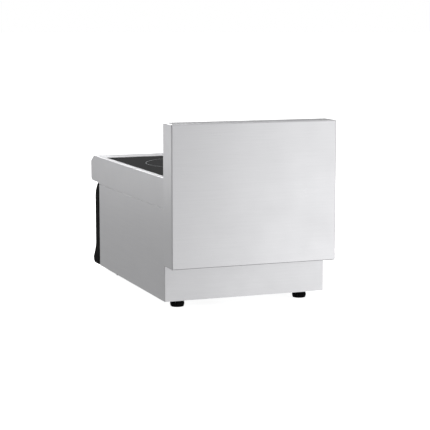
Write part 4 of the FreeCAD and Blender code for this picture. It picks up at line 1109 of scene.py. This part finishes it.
hub_profile = rounded([(HUB_BORE_MM, 0), (HUB_RADIUS_MM - 1.5, 0), (HUB_RADIUS_MM, 1.5),
                       (HUB_RADIUS_MM, rotor_tall - 1), (HUB_BORE_MM, rotor_tall - 1)],
                      [0, 0.5, 1, 2.5, 0.5], steps=5)
rotor = [turned(hub_profile, rotor_centre, 2, count=96, closed=True)]
for k in range(BLADES):
    rotor += blade(2 * math.pi * k / BLADES)
make_piece("fan_impeller", rotor, "fan", NYLON, "fan_rotor", crease=40)

# %% [markdown]
# ## Finishes for the CAD's own parts
# Flat sheets, boards and fixings already have their true shape in the CAD, so they stay and only
# get their finish. One table gives the material of each, and a loop swaps it in on every face.

# %% Dress the CAD parts
FINISHES = {
    STEEL_X: ["back_panel", "splash_front_plate", "splash_vent_plate"],
    STEEL_Y: ["filter_frame", "filter_rails"],
    GALVANISED: ["base_plate", "mid_deck", "front_cross_rail", "glass_support_frame",
                 "splash_brackets", "air_duct", "cable_pocket"],
    ZINC: ["coil_tray_posts", "temperature_sensor", "fan_motor", "board_standoffs", "earth_stud",
           "foot_weld_nuts", "chassis_screws", "knob_shaft"],
    EXTRUDED: ["coil_tray", "heat_sink"],
    GLASS: ["glass_top"],
    SILICONE: ["glass_seal"],
    NYLON: ["rotary_switch", "fan_frame", "power_modules", "cable_gland", "gland_lock_nut"],
    GREY_NYLON: ["coil_carrier", "terminal_block"],
    BOARD: ["control_board", "power_board", "mains_filter_board"],
    SLEEVE: ["bus_capacitors"],
    FERRITE: ["ferrite_bars"],
    MICA: ["mica_sheet"],
}
for finish, nodes in FINISHES.items():
    for node in nodes:
        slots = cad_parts[node].data.materials
        for index in range(len(slots)):
            slots[index] = finish
dressed = {node for nodes in FINISHES.values() for node in nodes}
shown = {name for name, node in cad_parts.items() if not node.hide_render}
print("dressed:", len(dressed), "| shown without a finish:", sorted(shown - dressed))

# %% [markdown]
# ## Floor, tent and lamps
# Shiny sheet metal looks like what it reflects, so it is lit by a tent: a sky that is bright in
# front, softer behind, and dark low down in front, where polished glass looks. Both flanks and the
# nadir are dark too, which draws a thin line along every fold. The tent is a world shader that
# reads the direction of each ray. The floor is matt and white, it glows, so that it stays white far
# away, and mirror rays pass it by. One large soft lamp gives the rear panel its slow change from
# grey to bright, a second does the same for the side, and two light the front and the black parts.

# %% Floor
FLOOR_RADIUS = 60
floor_mesh = bpy.data.meshes.new("studio_floor")
floor_points = FLOOR_RADIUS * circle(96) - [0, 0, 0.0004]
floor_mesh.from_pydata(floor_points.tolist(), [], [list(range(96))])
floor = bpy.data.objects.new("studio_floor", floor_mesh)
bpy.context.scene.collection.objects.link(floor)
floor_mesh.materials.append(finished(
    new_material("matt_white_floor")[0], Base_Color=(0.62, 0.62, 0.62, 1), Roughness=0.9,
    Specular_IOR_Level=0, Emission_Color=(1, 1, 1, 1), Emission_Strength=0.92))
floor.visible_glossy = False
floor.visible_shadow = False
print("floor radius:", FLOOR_RADIUS, "m")

# %% Light tent
LOW_FRONT, LOW_REAR, SKY_FRONT, SKY_REAR, ZENITH = 0.10, 0.62, 1.6, 0.75, 0.9
GROUND_FRONT, GROUND_REAR, NADIR, FLANK = 0.58, 1.05, 0.28, 0.16
FADES = {"rearwards": ("y", -0.2, 0.7), "sideways": ("x", 0.72, 0.9), "flank_top": ("z", 0.1, 0.3),
         "to_sky": ("z", 0.26, 0.38), "to_zenith": ("z", 0.5, 0.8),
         "to_ground": ("z", -0.02, -0.12), "to_nadir": ("z", -0.3, -0.65)}

world = bpy.data.worlds.new("light_tent")
bpy.context.scene.world = world
world.use_nodes = True
tent = world.node_tree
tent.nodes.clear()
x, y, z = add(tent, "SeparateXYZ", Vector=add(tent, "TexCoord").outputs["Generated"]).outputs
ray = {"x": add(tent, "Math", {"operation": "ABSOLUTE"}, i0=x), "y": y, "z": z}
fade = {name: add(tent, "MapRange", Value=ray[letter], From_Min=start, From_Max=end)
        for name, (letter, start, end) in FADES.items()}
low_sky = add(tent, "Mix", Factor=fade["rearwards"], A=LOW_FRONT, B=LOW_REAR)
sky = add(tent, "Mix", Factor=fade["rearwards"], A=SKY_FRONT, B=SKY_REAR)
low_ground = add(tent, "Mix", Factor=fade["rearwards"], A=GROUND_FRONT, B=GROUND_REAR)
high_sky = add(tent, "Mix", Factor=fade["to_zenith"], A=sky, B=ZENITH)
upper = add(tent, "Mix", Factor=fade["to_sky"], A=low_sky, B=high_sky)
ground = add(tent, "Mix", Factor=fade["to_nadir"], A=low_ground, B=NADIR)
radiance = add(tent, "Mix", Factor=fade["to_ground"], A=upper, B=ground)
flank = add(tent, "Mix", Factor=fade["flank_top"], A=fade["sideways"], B=0)
lit = add(tent, "Background", Strength=add(tent, "Mix", Factor=flank, A=radiance, B=FLANK))
backdrop = add(tent, "Background", Color=(1, 1, 1, 1), Strength=1.0)
camera_ray = add(tent, "LightPath").outputs["Is Camera Ray"]
seen = add(tent, "MixShader", i0=camera_ray, i1=lit, i2=backdrop)
add(tent, "OutputWorld", Surface=seen)
bpy.context.scene.view_settings.view_transform = "Standard"
print("light tent set, with", len(FADES), "fades")

# %% Soft lamps
def soft_lamp(name, place, aim, width, height, power):
    """A soft rectangular lamp at place, facing aim; sizes in metres, power in watts."""
    data = bpy.data.lights.new(name, "AREA")
    data.shape, data.size, data.size_y, data.energy = "RECTANGLE", width, height, power
    lamp = bpy.data.objects.new(name, data)
    lamp.location = place
    lamp.rotation_euler = (Vector(aim) - Vector(place)).to_track_quat("-Z", "Y").to_euler()
    lamp.visible_camera = False
    bpy.context.scene.collection.objects.link(lamp)
    return lamp


soft_lamp("rear_softbox", (-1.15, 1.50, 0.12), (-0.1, 0.37, 0.25), 1.5, 1.8, 4.7)
soft_lamp("side_softbox", (1.55, -2.3, 0.66), (0.22, 0.2, 0.3), 1.1, 1.4, 4.0)
soft_lamp("front_softbox", (0.3, -2.4, 1.9), (0, -0.3, 0.2), 1.6, 1.0, 22)
overhead = soft_lamp("overhead_softbox", (0.0, -0.4, 2.6), (0, 0, 0.3), 2.2, 2.2, 45)
overhead.visible_glossy = False
